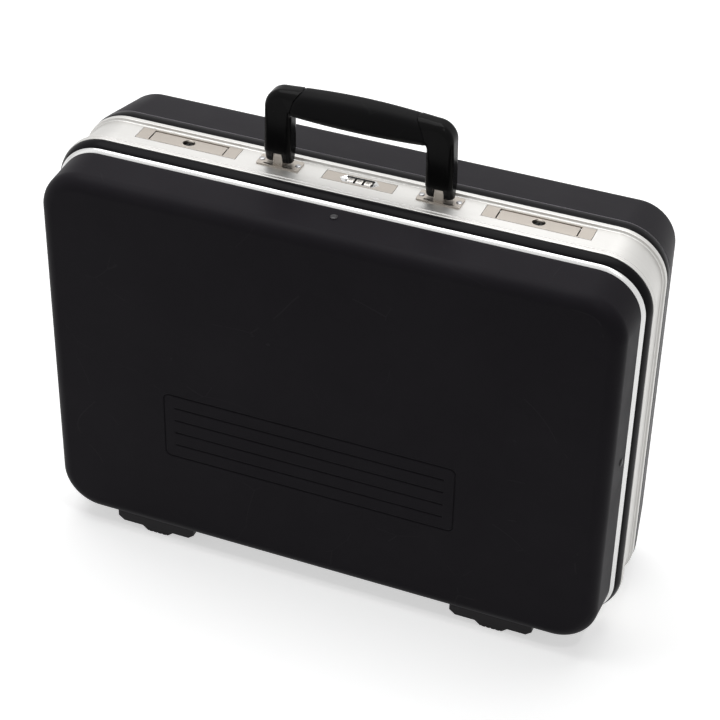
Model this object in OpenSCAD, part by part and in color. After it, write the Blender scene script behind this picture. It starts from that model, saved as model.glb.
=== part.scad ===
// Hard tool case: two moulded half shells on aluminium frames, hinged along the bottom.
// The case stands on its feet. X runs along its width, the lid faces -Y and +Z is up.
// The origin is on the floor, below the middle of the case's width and depth. Millimetres.

/* [Case] */
// Width over the rear lip of the base frame
case_w = 480; // [430:1:560]
// Height over the rear lip of the base frame
case_h = 338; // [280:1:420]
// Corner radius of the frame
corner_r = 40; // [30:1:60]
// Depth of the lid, from the parting plane to its front face
lid_d = 43.5; // [40:0.5:70]
// Depth of the base, from the parting plane to its rear face
base_d = 115; // [100:0.5:160]
// Height of the frame's lower edge above the floor
stand_h = 9; // [8:0.5:16]

/* [Shells] */
// Wall of both shells
shell_t = 3; // [2:0.1:4]
// How far the lid shell's rim lies inside the frame's outline
lid_inset = 4.5; // [3.5:0.1:6]
// Draft of the lid shell's sides over its depth
lid_draft = 1; // [0:0.1:1.4]
// Round edge between the lid's sides and its front face
lid_fillet = 12; // [8:0.5:16]
// How far the base shell's rim lies inside the frame's outline
base_inset = 0.7; // [0.3:0.1:1.5]
// Draft of the base shell's sides over its depth
base_draft = 7.3; // [2:0.1:10]
// Round edge between the base's sides and its rear face
base_fillet = 14; // [8:0.5:20]

/* [Front panel] */
// Width of the grooved panel on the lid
panel_w = 250; // [150:1:260]
// Height of the grooved panel on the lid
panel_h = 64; // [40:1:90]
// Height of the panel's middle above the frame's lower edge
panel_z = 119; // [100:1:180]
// Sideways place of the panel's middle
panel_x = -9; // [-30:1:30]
// Width of a groove
groove_w = 2.4; // [1.5:0.1:4]
// Depth of a groove
groove_d = 1; // [0.5:0.1:1.5]
// Number of straight grooves inside the border
groove_count = 4; // [2:1:5]

/* [Frames] */
// Width of the bright bead on the lid's frame
bead_w = 3.45; // [2.5:0.05:5]
// Width of the front edging
front_edging_w = 8.4; // [7:0.1:12]
// Width of the base frame's channel
channel_w = 42; // [38:0.5:50]
// Width of the rear edging
rear_edging_w = 10; // [8:0.1:14]
// Depth of the channel's floor below the rear lip
channel_depth = 2.6; // [2.5:0.1:3.2]
// How far the handle and the locks lie behind the channel's middle
channel_set = 6.55; // [6:0.05:6.8]
// Wall of the channel's floor
frame_t = 2; // [1.6:0.1:2.4]
// Height of the front lip above the rear lip
front_lip_rise = 1.6; // [0:0.1:2]
// Width of the front lip
front_lip_w = 5.8; // [4.5:0.1:6.5]
// Width of the ledge behind the front lip
ledge_w = 11.1; // [9:0.1:11.2]
// Depth of the ledge below the rear lip
ledge_depth = 1; // [0.6:0.1:1.8]
// Width of the rear lip
rear_lip_w = 4; // [3:0.1:4.1]
// Wall of the lid frame's strip
strip_t = 1.2; // [1:0.1:1.5]
// Depth of the lid frame's strip behind the bead
strip_w = 15; // [14:0.5:18]
// Thickness of the base frame's tongue
tongue_t = 1.5; // [1.2:0.1:2]
// How far the tongue reaches into the lid
tongue_reach = 4; // [2.5:0.1:5]
// Gap between lid and base at the parting plane
parting_gap = 0.3; // [0.2:0.05:0.6]
// Gap between a sheet part and what it lies in
seat_gap = 0.3; // [0.2:0.05:0.4]

/* [Handle] */
// Distance between the middles of the handle's legs
leg_spacing = 130.6; // [110:0.1:160]
// Width of a leg
leg_w = 22; // [20:0.1:30]
// Depth of a leg around its pivot
leg_t = 12; // [10:0.5:13]
// Depth of a leg above its pivot
leg_d = 17; // [14:0.5:18]
// Height of the handle's pivots above the rear lip
pivot_h = 5.5; // [5:0.1:8]
// Height of the grip's middle above the rear lip
grip_h = 55.4; // [50:0.1:80]
// Height of the grip's section
grip_t = 24.9; // [20:0.1:28]
// Depth of the grip's section
grip_d = 21; // [18:0.5:22]
// Length of the grip along its upper edge
grip_l = 89; // [70:1:98]
// How far the grip's underside hangs lower in its middle
grip_belly = 1.5; // [0:0.1:3]
// Radius of the handle's crowned top
crown_r = 610; // [450:10:900]
// Round outer corner of the handle
handle_r = 15; // [10:0.5:20]
// Radius of the handle's pins
handle_pin_r = 2; // [1.5:0.1:2.5]
// Width of a bracket's lug
lug_w = 7.8; // [6:0.1:9]
// Radius of a bracket's lug around the pin
lug_r = 4.6; // [4:0.1:4.9]
// Length of a bracket's plate
bracket_l = 35; // [33:0.5:38]
// Width of a bracket's plate
bracket_w = 14; // [12:0.5:18]
// Thickness of a bracket's plate
bracket_t = 1.3; // [1:0.1:2]

/* [Latches] */
// Distance of each latch's middle from the case's side
latch_inset = 97.5; // [85:0.5:115]
// Length of a latch's visible plate
latch_l = 85; // [82:0.5:95]
// Width of a latch's visible plate
latch_w = 15.5; // [15.5:0.1:16]
// Length of a latch's lever
lever_l = 62; // [58:0.5:66]
// Thickness of a lever
lever_t = 1.5; // [1.2:0.1:1.5]
// Gap at each end of a lever
lever_slit = 0.8; // [0.5:0.1:1.2]
// Radius of a lever's rolled edge
knuckle_r = 1.6; // [1.5:0.1:1.7]
// Radius of a lever's pin
lever_pin_r = 0.8; // [0.6:0.05:0.9]
// Radius of a key cylinder
key_r = 3; // [2.6:0.1:3]
// Half length of the eye-shaped key opening
eye_l = 5.2; // [4.8:0.1:5.2]
// Half width of the eye-shaped key opening
eye_w = 4.3; // [4:0.1:4.4]
// Depth of a latch's case below the channel's floor
latch_depth = 15; // [15:0.5:18]

/* [Combination lock] */
// Length of the combination lock's plate
combo_l = 57.5; // [54:0.5:66]
// Width of the combination lock's plate
combo_w = 12.5; // [12:0.5:15]
// Thickness of the combination lock's plate
combo_t = 0.9; // [0.7:0.05:1]
// Length of the dial window
window_l = 31; // [30:0.5:34]
// Width of the dial window
window_w = 9; // [9:0.1:10]
// Radius of a dial
dial_r = 7.5; // [7.3:0.1:7.6]
// Width of a dial
dial_w = 5.5; // [4.5:0.1:6]
// Distance between dials
dial_pitch = 7; // [6.3:0.1:7.2]
// Radius of the dials' shaft
shaft_r = 1.25; // [1:0.05:1.3]
// Travel of the shaft into the lid's keeper
shaft_throw = 5; // [4:0.1:5]

/* [Hinge] */
// Distance of the bottom hinge's ends from the case's sides
hinge_inset = 60; // [50:1:90]
// Radius of the hinge's knuckles
hinge_r = 2.5; // [2.2:0.1:2.6]
// Radius of the hinge's pin
hinge_pin_r = 1.25; // [1:0.05:1.4]
// Number of knuckles, an odd number
knuckles = 15; // [11:2:19]
// Thickness of the hinge's leaves
leaf_t = 1.2; // [1:0.1:1.3]
// Height of the hinge's axis below the frame's lower edge
hinge_drop = 3; // [2.8:0.1:3.4]

/* [Feet] */
// Distance of each foot's middle from the case's side
foot_inset = 91; // [80:1:115]
// Length of a foot where it meets the shell
foot_l = 70; // [66:1:90]
// Length of a foot's lower step at its top
foot_pad_l = 33; // [33:1:50]
// Depth of a foot
foot_d = 22; // [18:0.5:24]
// Distance of a foot from the case's front or rear face
foot_set = 6; // [5:0.5:8]
// Height of a foot's lower step
foot_pad_h = 6.2; // [5:0.1:7]

/* [Fasteners and fits] */
// Radius of a rivet's shank
rivet_r = 1.6; // [1.2:0.1:1.8]
// Radius of a rivet's head
rivet_head_r = 3; // [2.6:0.1:3.2]
// Height of a rivet's head
rivet_head_h = 1.1; // [0.8:0.1:1.4]
// Radius of a foot screw's shank
screw_r = 1.75; // [1.5:0.05:1.9]
// Radius of a foot screw's head
screw_head_r = 3.6; // [3:0.1:4]
// Height of a foot screw's head
screw_head_h = 1.8; // [1.4:0.1:2.2]
// How far a foot screw reaches into the shell
screw_bite = 5; // [4:0.5:7]
// Radial clearance of pins, shafts and rivets in their holes
fit = 0.05; // [0.03:0.01:0.08]

/* [Hidden] */
$fn = 96;
HULL_FN = 48;
EPS = 0.01;

// Colours
SHELL_C = [0.13, 0.13, 0.145];
EDGING_C = [0.07, 0.07, 0.08];
BRIGHT_C = [0.86, 0.86, 0.84];
CHANNEL_C = [0.8, 0.79, 0.76];
LOCK_C = [0.74, 0.69, 0.62];
STEEL_C = [0.6, 0.6, 0.6];
DIAL_C = [0.75, 0.72, 0.66];
GRIP_C = [0.06, 0.06, 0.06];
RUBBER_C = [0.1, 0.1, 0.1];
FOOT_C = [0.2, 0.19, 0.21];

// Heights
top_z = stand_h + case_h;
mid_z = stand_h + case_h / 2;
floor_z = -channel_depth;
under_z = floor_z - frame_t;

// Places along the width
latch_x = max(leg_spacing / 2 + bracket_l / 2 + latch_l / 2 + 1, case_w / 2 - latch_inset);
foot_x = case_w / 2 - foot_inset;
hinge_l = case_w - 2 * hinge_inset;

// Depths, front to back
part_y = (lid_d - base_d) / 2;
face_y = part_y - lid_d;
back_y = part_y + base_d;
chan_y0 = part_y + front_edging_w;
chan_y1 = chan_y0 + channel_w;
ledge_y0 = chan_y0 + front_lip_w;
ledge_y1 = ledge_y0 + ledge_w;
lip_y0 = chan_y1 - rear_lip_w;
rim_y = chan_y1 + rear_edging_w;
chan_y = (chan_y0 + chan_y1) / 2 + channel_set;
bead_y0 = part_y - parting_gap / 2 - bead_w;
bead_y1 = part_y - parting_gap / 2;

// Offsets from the frame's outline, inwards negative
bead_o0 = -(lid_inset + 0.4);
bead_o1 = -2.2;
bead_rise = 0.5;
front_edging_o0 = -2.6;
front_edging_o1 = 0.6;
front_edging_rise = 1.4;
rear_edging_o0 = -0.8;
rear_edging_o1 = -1.6;
rear_edging_rise = 1.2;
rim_web = 4;
strip_out = -(lid_inset + shell_t + 2 * seat_gap);
strip_in = strip_out - strip_t;
tongue_out = strip_in - seat_gap;
tongue_in = tongue_out - tongue_t;
collar_out = -(base_inset + 4);
collar_in = collar_out - shell_t;
collar_web = 2.5;
flange_out = collar_in - seat_gap;
flange_in = flange_out - tongue_t;
flange_w = 4;
seal_d = 2.3;
notch_gap = 0.6;
seal_y1 = part_y - tongue_reach - seat_gap;
seal_y0 = seal_y1 - seal_d;
seat_y0 = seal_y0 - strip_t;
seat_in = tongue_in - 0.7;

// Handle
leg_x = leg_spacing / 2;
handle_half = leg_x + leg_w / 2;
grip_top = grip_h + grip_t / 2;
grip_low = grip_h - grip_t / 2;
leg_full_z = pivot_h + 6.5;
grip_in = leg_x - leg_w / 2;
leg_top_z = grip_low - 9;
grip_low_z = grip_low - grip_belly - 0.5;
crown_steps = 24;
seam_steps = 8;
seam_bend = 2.6;
grip_edge_r = 6;
lug_foot = 0.8;
lug_gap = 0.3;
bracket_rivet_x = bracket_l / 2 - 2.6;
bracket_slot_x = 8;
bracket_slot_y = -5;
bracket_slot_l = 7.4;
bracket_slot_w = 1.8;
bracket_head = 0.8;
pin_inset = 0.6;
core_w = 10;
core_t = 2.4;
core_l = leg_spacing + 6;

// Latches
lever_gap = 0.4;
latch_wall = 0.85;
well_w = latch_w - 2 * latch_wall;
well_l = lever_l + 2 * lever_slit;
lever_y = well_w / 2 - lever_gap - knuckle_r;
lever_z = floor_z - knuckle_r;
lever_low = floor_z - lever_t;
latch_low = floor_z - latch_depth;
latch_bottom_t = 1.5;
keeper_top = tongue_in - 2.4;
claw_set = 3.8;
claw_y0 = claw_set - well_w / 2;
claw_y1 = claw_y0 + 1.6;
claw_z = keeper_top + 0.8;
keeper_t = 2;
keeper_low = keeper_top - keeper_t;
cam_z = lever_low - 3.6;
cam_t = 1.1;
cam_r = 6.5;
cam_w = 3.4;
boss_r = 5;
boss_top = cam_z - 1;
hook_x = 9.5;
hook_w = 4;
key_low = latch_low + latch_bottom_t;
keeper_half = 14;
latch_rim = 2.4;
well_end = 4;
pin_bite = 3;
catch_x = 5;
catch_t = 1;
catch_y = 3;
catch_gap = 0.3;
spring_gap = 0.35;
spring_t = 0.5;
keyway_w = 1;
keyway_l = 4.8;
keyway_d = 2;

// Combination lock
shaft_z = floor_z + 0.4 - dial_r;
dial_low = shaft_z - dial_r;
cavity_l = 2 * dial_pitch + dial_w + 3;
combo_wall = 0.8;
combo_in_w = 2 * dial_r + 0.6;
combo_body_w = combo_in_w + 2 * combo_wall;
combo_low = dial_low - 2.3;
combo_bottom_t = 1.2;
combo_flange_t = 1.5;
bearing_t = 2.7;
window_point = 4;
detent_t = 0.4;
detent_w = 3.6;
dial_notch_r = 0.5;
dial_notch_l = 0.7;
eye_x0 = cavity_l / 2 + bearing_t + 3;
eye_t = 2;
eye_r = shaft_r + 0.35;
eye_wall = 0.8;
shaft_tip = eye_x0 - 1.3;
shaft_tail = -(cavity_l / 2 + bearing_t + shaft_throw + 1);

// Hinge
hinge_z = stand_h - hinge_drop;
knuckle_l = hinge_l / knuckles;
leaf_gap = 0.3;
base_leaf_top = stand_h - front_lip_rise;
base_web_y = ledge_y1 + 0.4;
lid_web_y = bead_y0 - 1.1;
lid_under_z = stand_h + lid_inset;
leaf_flange = 11;
lid_flange = 9;
leaf_rivet_y = base_web_y + leaf_t + 5;
lid_leaf_rivet_y = lid_web_y - leaf_t - 5;
pin_head_r = hinge_pin_r + 0.7;
pin_head_t = 1;

// Feet
base_foot_y = back_y - foot_set - foot_d / 2 - 3;
lid_foot_y = face_y + foot_set + foot_d / 2;
foot_h = 20;
foot_step = 2;
foot_slant = 5;
foot_slant_h = 4;
foot_pad_slant = 6;
foot_pad_rim = 1;
screw_seat = 3.5;
screw_gap = 0.4;
foot_screw_x = foot_pad_l / 2 - foot_pad_slant - screw_head_r - screw_gap - 0.7;
base_screw_top = stand_h + base_draft + base_inset + screw_bite;
lid_screw_top = stand_h + lid_inset + lid_draft + screw_bite;

// Front panel
panel_r = 6;
panel_margin = 4 * groove_w;

// Keepers
keeper_pad_y0 = seat_y0 - 9;
keeper_rivet_y = seat_y0 - 5.6;
keeper_rivet_x = 8;
keeper_gap = 0.3;
keeper_end = 0.6;
lid_rivet_y = bead_y0 - strip_w + 4;
lid_rivet_lift = 0.35;
lid_rivet_set = 0.3;
claw_slot_w = 5;
claw_slot_d = 3.2;
claw_slot_y = chan_y - 4.1;
fork_w = 12;
fork_d = 6.5;

// Draws a rounded rectangle around the origin
module rounded(w, h, r) {
    square([w - 2 * r, h], center = true);
    square([w, h - 2 * r], center = true);
    for (x = [-1, 1], y = [-1, 1])
        translate([x * (w / 2 - r), y * (h / 2 - r)])
            circle(r = r);
}

// The frame's outline, grown by o, as a slab from y0 to y1
module slab(o, y0, y1) {
    translate([0, y1, mid_z])
        rotate([90, 0, 0])
            linear_extrude(height = y1 - y0)
                rounded(case_w + 2 * o, case_h + 2 * o, corner_r + o);
}

module ring(out, in, y0, y1) {
    difference() {
        slab(out, y0, y1);
        slab(in, y0 - 1, y1 + 1);
    }
}

// A ring whose outer face is crowned: its offset runs from o0 to o1 and bulges by rise
module crowned_ring(o0, o1, rise, in, y0, y1) {
    steps = 8;
    difference() {
        hull()
            for (i = [0:steps]) {
                u = i / steps;
                o = o0 + (o1 - o0) * u + rise * sqrt(1 - pow(2 * u - 1, 2));
                y = y0 + (y1 - y0 - EPS) * u;
                slab(o, y, y + EPS, $fn = HULL_FN);
            }
        slab(in, y0 - 1, y1 + 1);
    }
}

// A shell's outer form: rim at y0, draft, and a round edge of radius r at y1
module tub(rim_o, draft, r, y0, y1) {
    dir = y1 > y0 ? 1 : -1;
    o = rim_o - draft;
    hull() {
        slab(rim_o, min(y0, y0 + dir * EPS), max(y0, y0 + dir * EPS), $fn = HULL_FN);
        for (x = [-1, 1], z = [-1, 1])
            translate([x * (case_w / 2 - corner_r), y1 - dir * r, z_corner(z)])
                rotate([90, 0, 0])
                    rotate_extrude($fn = HULL_FN)
                        translate([corner_r + o - r, 0])
                            circle(r = r, $fn = 32);
    }
}

function z_corner(s) = mid_z + s * (case_h / 2 - corner_r);

module block(x0, x1, y0, y1, z0, z1) {
    translate([x0, y0, z0])
        cube([x1 - x0, y1 - y0, z1 - z0]);
}

module x_rod(r, x0, x1, y, z) {
    translate([x0, y, z])
        rotate([0, 90, 0])
            cylinder(r = r, h = x1 - x0);
}

module z_rod(r, z0, z1, x, y) {
    translate([x, y, z0])
        cylinder(r = r, h = z1 - z0);
}

// Extrudes a (y, z) outline along X
module along_x(x0, x1) {
    translate([x0, 0, 0])
        rotate([90, 0, 90])
            linear_extrude(height = x1 - x0)
                children();
}

// Moves children into the channel at the top, with z = 0 at the height of its rear lip
module on_channel(x) {
    translate([x, chan_y, top_z])
        children();
}

// A round-headed rivet along +Z with its head's seat at z = 0 and its shank below
module rivet(grip, head = 1) {
    scale(head)
        rotate_extrude()
            intersection() {
                square([rivet_head_r, rivet_head_h]);
                translate([0, rivet_head_h - dome_r()])
                    circle(r = dome_r());
            }
    translate([0, 0, -grip])
        cylinder(r = rivet_r, h = grip);
}

function dome_r() = (pow(rivet_head_r, 2) + pow(rivet_head_h, 2)) / (2 * rivet_head_h);

// ---- Base ----

module base_outer() {
    tub(-base_inset, base_draft, base_fillet, rim_y, back_y);
}

module base_shell() {
    color(SHELL_C) {
        difference() {
            base_outer();
            tub(-base_inset - shell_t, base_draft, base_fillet - shell_t,
                rim_y - EPS, back_y - shell_t);
            foot_holes(base_foot_y, base_screw_top + 1);
        }
        ring(collar_out, collar_in, chan_y1 + seat_gap, rim_y + collar_web);
        ring(-base_inset - 1, collar_in, rim_y, rim_y + collar_web);
    }
}

module base_frame() {
    color(CHANNEL_C) {
        difference() {
            union() {
                ring(front_lip_rise, tongue_in, chan_y0, chan_y0 + rim_web);
                ring(front_lip_rise, under_z, chan_y0 + rim_web - EPS, ledge_y0);
                ring(-ledge_depth, under_z, ledge_y0 - EPS, ledge_y1);
                ring(floor_z, under_z, ledge_y1 - EPS, lip_y0);
                ring(0, flange_in, lip_y0 - EPS, chan_y1);
                ring(tongue_out, tongue_in, part_y - tongue_reach, chan_y0 + EPS);
                ring(flange_out, flange_in, chan_y1 - EPS, chan_y1 + flange_w);
            }
            for (s = [-1, 1])
                on_channel(s * latch_x)
                    block(-latch_l / 2 - seat_gap, latch_l / 2 + seat_gap,
                        -latch_w / 2 - seat_gap, latch_w / 2 + seat_gap, under_z - 1, floor_z + 1);
            on_channel(0)
                block(-combo_l / 2 - seat_gap, combo_l / 2 + seat_gap,
                    -combo_w / 2 - seat_gap, combo_w / 2 + seat_gap, under_z - 1, floor_z + 1);
            eye_notch();
            bracket_holes();
            base_leaf_holes();
        }
    }
}

// Way through the base's rim for the middle keeper's eye
module eye_notch() {
    on_channel(0)
        block(eye_x0 - notch_gap, eye_x0 + eye_t + notch_gap,
            -channel_w, -combo_body_w / 2 - 1, tongue_in - 1, under_z - seat_gap);
}

module base_front_edging() {
    color(EDGING_C)
        difference() {
            crowned_ring(front_edging_o0, front_edging_o1, front_edging_rise,
                strip_in, part_y + parting_gap / 2, chan_y0);
            eye_notch();
        }
}

module base_rear_edging() {
    color(EDGING_C)
        crowned_ring(rear_edging_o0, rear_edging_o1, rear_edging_rise,
            collar_out + seat_gap, chan_y1, rim_y);
}

// ---- Feet ----

module foot_holes(y, top) {
    for (s = [-1, 1], k = [-1, 1])
        z_rod(screw_r + fit, -1, top, s * foot_x + k * foot_screw_x, y);
}

// A foot with two steps, cut to fit the shell that its children draw
module foot(x, y) {
    difference() {
        union() {
            translate([x, y, 0])
                slanted_step(foot_pad_l / 2, foot_pad_slant, foot_pad_h - foot_pad_rim,
                    foot_pad_h + EPS, foot_d - 2 * foot_step);
            translate([x, y, foot_pad_h])
                slanted_step(foot_l / 2, foot_slant, foot_slant_h, foot_h, foot_d);
        }
        children();
        for (k = [-1, 1]) {
            z_rod(screw_r + fit, -1, 2 * foot_h, x + k * foot_screw_x, y);
            z_rod(screw_head_r + screw_gap, -1, screw_seat, x + k * foot_screw_x, y);
        }
    }
}

// A step of a foot whose ends slant in towards the floor
module slanted_step(half, slant, slant_h, h, depth) {
    translate([0, depth / 2, 0])
        rotate([90, 0, 0])
            linear_extrude(height = depth)
                polygon([
                    [slant - half, 0], [half - slant, 0], [half, slant_h],
                    [half, h], [-half, h], [-half, slant_h]
                ]);
}

module foot_screws(y, top) {
    for (s = [-1, 1], k = [-1, 1]) {
        x = s * foot_x + k * foot_screw_x;
        z_rod(screw_r, screw_seat - EPS, top, x, y);
        z_rod(screw_head_r, screw_seat - screw_head_h, screw_seat, x, y);
    }
}

module base_foot(s) {
    color(FOOT_C)
        foot(s * foot_x, base_foot_y)
            base_outer();
}

module base_foot_left() {
    base_foot(-1);
}

module base_foot_right() {
    base_foot(1);
}

module base_foot_screws() {
    color(STEEL_C)
        foot_screws(base_foot_y, base_screw_top);
}

module lid_foot(s) {
    color(FOOT_C)
        foot(s * foot_x, lid_foot_y)
            lid_outer();
}

module lid_foot_left() {
    lid_foot(-1);
}

module lid_foot_right() {
    lid_foot(1);
}

module lid_foot_screws() {
    color(STEEL_C)
        foot_screws(lid_foot_y, lid_screw_top);
}

// ---- Handle ----

module bracket_holes() {
    for (s = [-1, 1], k = [-1, 1])
        on_channel(s * leg_x) {
            z_rod(rivet_r + fit, under_z - 1, floor_z + 1, k * bracket_rivet_x, 0);
            bracket_slot(k);
        }
}

// A slot through a bracket's plate and the channel's floor, beside the lug
module bracket_slot(k) {
    translate([k * bracket_slot_x, bracket_slot_y, floor_z])
        cube([bracket_slot_l, bracket_slot_w, 3 * frame_t], center = true);
}

module handle_bracket(s) {
    color(LOCK_C)
        on_channel(s * leg_x) {
            difference() {
                block(-bracket_l / 2, bracket_l / 2, -bracket_w / 2, bracket_w / 2,
                    floor_z, floor_z + bracket_t);
                for (k = [-1, 1]) {
                    z_rod(rivet_r + fit, floor_z - 1, floor_z + bracket_t + 1, k * bracket_rivet_x, 0);
                    bracket_slot(k);
                }
            }
            difference() {
                along_x(-lug_w / 2, lug_w / 2) {
                    translate([0, pivot_h])
                        circle(r = lug_r);
                    polygon([
                        [-lug_r - lug_foot, floor_z + bracket_t - EPS],
                        [lug_r + lug_foot, floor_z + bracket_t - EPS],
                        [lug_r, pivot_h], [-lug_r, pivot_h]
                    ]);
                }
                x_rod(handle_pin_r + fit, -lug_w, lug_w, 0, pivot_h);
            }
        }
}

module handle_bracket_left() {
    handle_bracket(-1);
}

module handle_bracket_right() {
    handle_bracket(1);
}

module handle_bracket_rivets() {
    color(STEEL_C)
        for (s = [-1, 1], k = [-1, 1])
            on_channel(s * leg_x)
                translate([k * bracket_rivet_x, 0, floor_z + bracket_t])
                    rivet(bracket_t + frame_t + 1, bracket_head);
}

module handle_pin(s) {
    color(STEEL_C)
        on_channel(s * leg_x)
            x_rod(handle_pin_r, pin_inset - leg_w / 2, leg_w / 2 - pin_inset, 0, pivot_h);
}

module handle_pin_left() {
    handle_pin(-1);
}

module handle_pin_right() {
    handle_pin(1);
}

// Side outline of the whole handle: slim at the pivot, deepest at the grip
module handle_side() {
    edge_z = grip_top - grip_edge_r;
    edge_y = grip_d / 2 - grip_edge_r;
    along_x(-handle_half - 1, handle_half + 1) {
        translate([0, pivot_h])
            circle(r = leg_t / 2);
        polygon([
            [-leg_t / 2, pivot_h], [leg_t / 2, pivot_h],
            [leg_d / 2, leg_full_z], [leg_d / 2, leg_top_z], [grip_d / 2, grip_low_z],
            [grip_d / 2, edge_z], [edge_y, grip_top],
            [-edge_y, grip_top], [-grip_d / 2, edge_z],
            [-grip_d / 2, grip_low_z], [-leg_d / 2, leg_top_z], [-leg_d / 2, leg_full_z]
        ]);
        for (k = [-1, 1])
            translate([k * edge_y, edge_z])
                circle(r = grip_edge_r);
    }
}

// Height of the handle's crowned top at a distance x from its middle
function crown_z(x) = grip_top - crown_r + sqrt(pow(crown_r, 2) - pow(x, 2));

// Front outline of the whole handle, as a slab
module handle_front() {
    bow_l = handle_half - handle_r;
    corner_z = crown_z(bow_l) - handle_r;
    translate([0, grip_d, 0])
        rotate([90, 0, 0])
            linear_extrude(height = 2 * grip_d)
                union() {
                    for (k = [-1, 1]) {
                        translate([k * leg_x - leg_w / 2, pivot_h - leg_t])
                            square([leg_w, corner_z - pivot_h + leg_t]);
                        translate([k * bow_l, corner_z])
                            circle(r = handle_r);
                    }
                    polygon(concat(
                        [for (i = [0:crown_steps]) belly_point(bow_l * (2 * i / crown_steps - 1))],
                        [for (i = [crown_steps:-1:0]) crown_point(bow_l * (2 * i / crown_steps - 1))]
                    ));
                }
}

function crown_point(x) = [x, crown_z(x)];

function belly_point(x) = [x, grip_low - grip_belly * max(0, 1 - pow(x / grip_in, 2))];

// What the grip takes of the handle: its ends bend outwards towards the legs
module grip_zone(gap) {
    low = grip_low - grip_belly - 1;
    translate([0, grip_d, 0])
        rotate([90, 0, 0])
            linear_extrude(height = 2 * grip_d)
                polygon(concat(
                    [[gap - grip_in, low], [grip_in - gap, low]],
                    [for (i = [0:seam_steps]) seam_point(i / seam_steps, 1, gap)],
                    [[grip_l / 2 - gap, grip_top + 1], [gap - grip_l / 2, grip_top + 1]],
                    [for (i = [seam_steps:-1:0]) seam_point(i / seam_steps, -1, gap)]
                ));
}

// A point of the seam on side s, at a share u of the grip's height
function seam_point(u, s, gap) =
    [s * (grip_in - gap - (grip_in - grip_l / 2) * pow(u, seam_bend)), grip_low + grip_t * u];

module core_space(gap) {
    block(-core_l / 2 - gap, core_l / 2 + gap, -core_w / 2 - gap, core_w / 2 + gap,
        grip_h - core_t / 2 - gap, grip_h + core_t / 2 + gap);
}

module handle_arm(s) {
    color(GRIP_C)
        on_channel(0)
            difference() {
                intersection() {
                    handle_front();
                    handle_side();
                    block(min(0, s * case_w), max(0, s * case_w), -leg_d / 2, leg_d / 2, -leg_t, 2 * grip_h);
                }
                grip_zone(0);
                core_space(seat_gap);
                block(s * leg_x - lug_w / 2 - lug_gap, s * leg_x + lug_w / 2 + lug_gap,
                    -grip_d, grip_d, -leg_t, pivot_h + lug_r + 2 * lug_gap);
                x_rod(handle_pin_r + fit, s * leg_x - leg_w, s * leg_x + leg_w, 0, pivot_h);
            }
}

module handle_arm_left() {
    handle_arm(-1);
}

module handle_arm_right() {
    handle_arm(1);
}

module handle_grip() {
    color(GRIP_C)
        on_channel(0)
            difference() {
                intersection() {
                    handle_front();
                    handle_side();
                    grip_zone(seat_gap);
                }
                core_space(seat_gap);
            }
}

module handle_core() {
    color(STEEL_C)
        on_channel(0)
            core_space(0);
}

// ---- Latches ----

module latch_housing(s) {
    well = well_l / 2;
    color(LOCK_C)
        on_channel(s * latch_x)
            difference() {
                union() {
                    block(-latch_l / 2, latch_l / 2, -latch_w / 2, latch_w / 2, under_z - EPS, floor_z);
                    block(-latch_l / 2, latch_l / 2, -latch_w / 2 - latch_rim, latch_w / 2 + latch_rim,
                        under_z - latch_wall, under_z);
                    block(-well - well_end, well + well_end, -latch_w / 2, latch_w / 2,
                        latch_low, under_z);
                }
                difference() {
                    block(-well, well, -well_w / 2, well_w / 2, key_low, floor_z + 1);
                    z_rod(boss_r, key_low - 1, boss_top, 0, 0);
                }
                z_rod(key_r + fit, key_low, boss_top + 1, 0, 0);
                x_rod(lever_pin_r + fit, -well - pin_bite - 0.2, well + pin_bite + 0.2,
                    lever_y, lever_z);
                block(-keeper_half - 1, keeper_half + 1, -latch_w, -well_w / 2 + 1,
                    key_low, claw_z + 0.2);
            }
}

module latch_housing_left() {
    latch_housing(-1);
}

module latch_housing_right() {
    latch_housing(1);
}

module latch_pin(s) {
    color(STEEL_C)
        on_channel(s * latch_x)
            x_rod(lever_pin_r, -well_l / 2 - pin_bite, well_l / 2 + pin_bite, lever_y, lever_z);
}

module latch_pin_left() {
    latch_pin(-1);
}

module latch_pin_right() {
    latch_pin(1);
}

// A lever: a flat plate with a rolled rear edge, an eye for the key, two claws and a catch
module latch_lever(s) {
    eye_big = (pow(eye_l, 2) / eye_w + eye_w) / 2;
    color(LOCK_C)
        on_channel(s * latch_x) {
            difference() {
                union() {
                    block(-lever_l / 2, lever_l / 2, -well_w / 2 + lever_gap, lever_y, lever_low, floor_z);
                    x_rod(knuckle_r, -lever_l / 2, lever_l / 2, lever_y, lever_z);
                    for (k = [-1, 1])
                        block(k * hook_x - hook_w / 2, k * hook_x + hook_w / 2, claw_y0, claw_y1,
                            claw_z, lever_low + EPS);
                    difference() {
                        block(catch_x, catch_x + catch_t, -catch_y, catch_y, cam_z - 1, lever_low + EPS);
                        block(catch_x - 1, catch_x + catch_t + 1, -catch_y - 1, cam_w / 2 + catch_gap,
                            cam_z - catch_gap, cam_z + cam_t + catch_gap);
                    }
                }
                x_rod(lever_pin_r + fit, -lever_l, lever_l, lever_y, lever_z);
                intersection() {
                    z_rod(eye_big, lever_low - EPS, floor_z + 1, 0, eye_big - eye_w);
                    z_rod(eye_big, lever_low - EPS, floor_z + 1, 0, eye_w - eye_big);
                }
            }
        }
}

module latch_lever_left() {
    latch_lever(-1);
}

module latch_lever_right() {
    latch_lever(1);
}

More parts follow.
